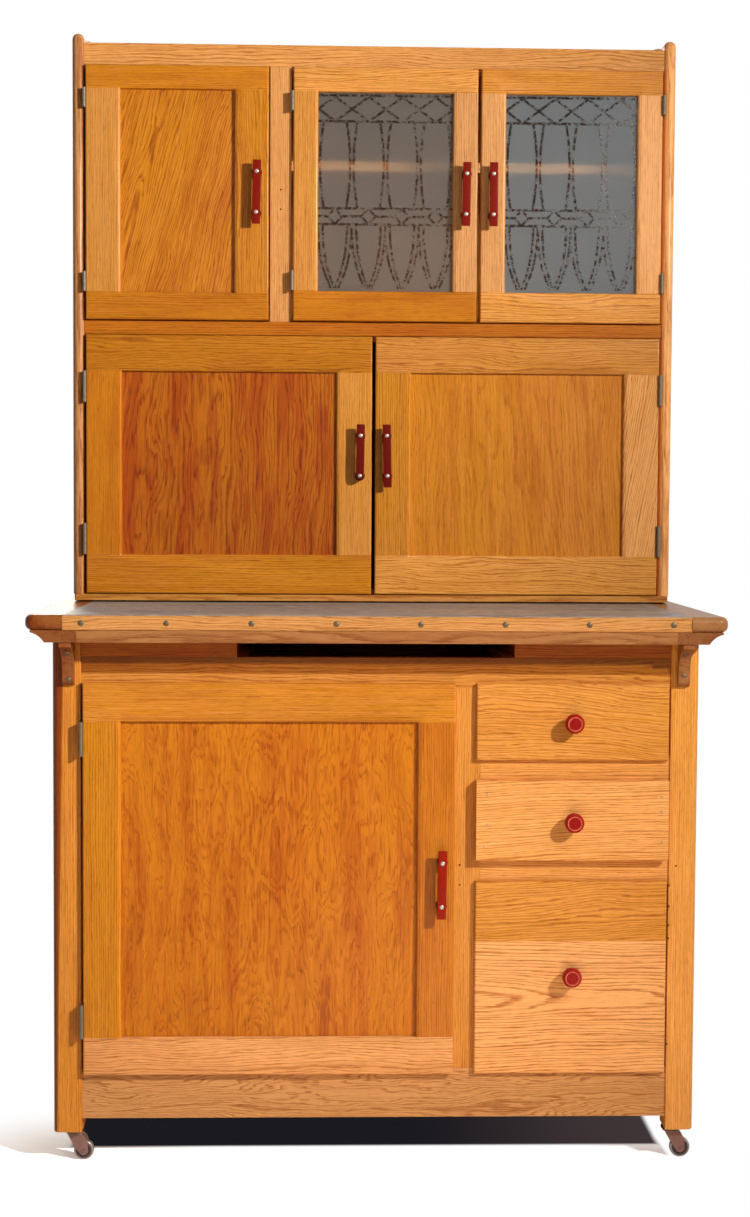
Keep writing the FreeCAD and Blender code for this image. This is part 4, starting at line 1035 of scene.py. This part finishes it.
# Colours of the painted shadow under the cabinet, deepest at the left and paler towards the right.
PAINTED_SHADOW_DEEP = (0.0112, 0.0106, 0.0136)
PAINTED_SHADOW_PALE = (0.050, 0.036, 0.038)


def shade_line(edge, axis):
    """Where on the floor the shade of an edge begins, along one axis."""
    return edge[axis] - edge.z * (KEY[axis] - edge[axis]) / (KEY.z - edge.z)


def seen_as_white(wire):
    """The rays that find the room white: from the camera, off gloss and through glass."""
    seen = wire.node("LightPath", output="Is Camera Ray")
    for ray in ("Is Glossy Ray", "Is Transmission Ray"):
        seen = seen.most(wire.node("LightPath", output=ray))
    return seen


def away_from(x, y):
    """Distance over the floor from a spot on it."""
    return ((across - x) ** 2.0 + (back - y) ** 2.0) ** 0.5


low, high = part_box("base_face_frame")
front_shade = shade_line(low, Y)
low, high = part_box("base_side_right")
side_shade = shade_line(Vector((high.x - RAIL_SETBACK, 0.0, low.z + BOTTOM_RAIL[0])), X)
floor_mesh = bmesh.new()
bmesh.ops.create_grid(floor_mesh, x_segments=1, y_segments=1, size=30.0)
floor_finish, wire = new_material("floor")
place = wire.node("TexCoord", output="Object")
across, back = place.part("X"), place.part("Y")
beside_left = away_from(*LEFT_FOOT)
beside_right = away_from(*RIGHT_FOOT) * 2.0 + (across - RIGHT_END).most(0.0) * 20.0
distance = beside_left.least(beside_right)
below = (back - front_shade).least(side_shade + SHADE_ENDS[1] - across)
below = below.least(across - SHADE_ENDS[0]).least(SHADE_BACK - back)
bright = wire.node("BsdfDiffuse", None, {"Color": (2.4, 2.4, 2.4, 1.0)})
# The dark under the cabinet is a painted shadow: an emission colour, not a cast shadow.
painted_shadow_colour = wire.colour(PAINTED_SHADOW_DEEP).mixed(across.ramp(0.05, 0.45), wire.colour(PAINTED_SHADOW_PALE))
dark = wire.node("Emission", None, {"Color": painted_shadow_colour, "Strength": 1.0})
matt = wire.node("BsdfDiffuse", None, {"Color": (0.85, 0.72, 0.55, 1.0)})
white = wire.node("Emission", None, {"Color": (1.0, 1.0, 1.0, 1.0), "Strength": 1.0})
faded = wire.node("MixShader", None,
                  {0: distance.ramp(*FLOOR_FADE, NEAR_WHITE, 1.0), 1: bright, 2: white})
shaded = wire.node("MixShader", None, {0: below.ramp(0.0, SHADE_EDGE), 1: faded, 2: dark})
finish_material(wire, wire.node("MixShader", None, {0: seen_as_white(wire), 1: matt, 2: shaded}))
floor = new_piece("floor", floor_mesh, floor_finish)

world = bpy.data.worlds.new("room")
bpy.context.scene.world = world
world.use_nodes = True
world.node_tree.nodes.clear()
wire = Wire(world.node_tree)
room = wire.node("Background", None, {"Color": (1.0, 0.85, 0.65, 1.0), "Strength": 0.055})
white = wire.node("Background", None, {"Color": (1.0, 1.0, 1.0, 1.0), "Strength": 1.0})
both = wire.node("MixShader", None, {0: seen_as_white(wire), 1: room, 2: white})
wire.node("OutputWorld", None, {"Surface": both})


def lamp(name, place, target, size, power, colour=(1.0, 1.0, 1.0), spread=180.0):
    data = bpy.data.lights.new(name, "AREA")
    data.shape = "DISK"
    data.size = size
    data.energy = power
    data.color = colour
    data.spread = math.radians(spread)
    light = bpy.data.objects.new(name, data)
    bpy.context.scene.collection.objects.link(light)
    light.location = place
    light.rotation_euler = (Vector(target) - Vector(place)).to_track_quat("-Z", "Y").to_euler()


# The key lamp is turned away from its own side, so that both ends are lit alike; the soft lamps
# are warm, one of them lights the back, and a small lamp puts a sheen at the upper right.
WARM = (1.0, 0.74, 0.46)
lamp("key", KEY, KEY_TARGET, 0.15, 104.0, (1.0, 0.98, 0.95), spread=120.0)
lamp("fill", (0.3, -3.9, 1.5), MIDDLE, 2.2, 4.2, WARM)
lamp("top", (0.0, -0.6, 4.2), MIDDLE, 2.0, 3.8, WARM)
lamp("floor glow", (0.2, -0.75, 0.03), (0.2, -0.4, 0.35), 0.8, 2.8, WARM)
lamp("back", (-0.8, 3.8, 2.2), MIDDLE, 1.6, 60.0, (1.0, 0.9, 0.78))
lamp("sheen", (0.95, -2.4, 2.0), (0.46, 0.0, 1.55), 0.5, 4.0)

LENS = 51.89
SHIFT = -0.0162
CAMERA_PLACE = (-0.08209, -2.89567, 1.00622)
yaw, pitch, roll = 0.0295, 0.04953, 0.00589
camera_data = bpy.data.cameras.new("camera")
camera_data.lens = LENS
camera_data.shift_y = SHIFT
camera = bpy.data.objects.new("camera", camera_data)
bpy.context.scene.collection.objects.link(camera)
bpy.context.scene.camera = camera
forward = Vector((math.sin(yaw) * math.cos(pitch), math.cos(yaw) * math.cos(pitch),
                  -math.sin(pitch)))
right = Vector((math.cos(yaw), -math.sin(yaw), 0.0))
up = right.cross(forward)
turned_right = right * math.cos(roll) + up * math.sin(roll)
turned_up = up * math.cos(roll) - right * math.sin(roll)
turn = Matrix((turned_right, turned_up, -forward)).transposed().to_4x4()
camera.matrix_world = Matrix.Translation(CAMERA_PLACE) @ turn
bpy.context.scene.view_settings.view_transform = "Standard"
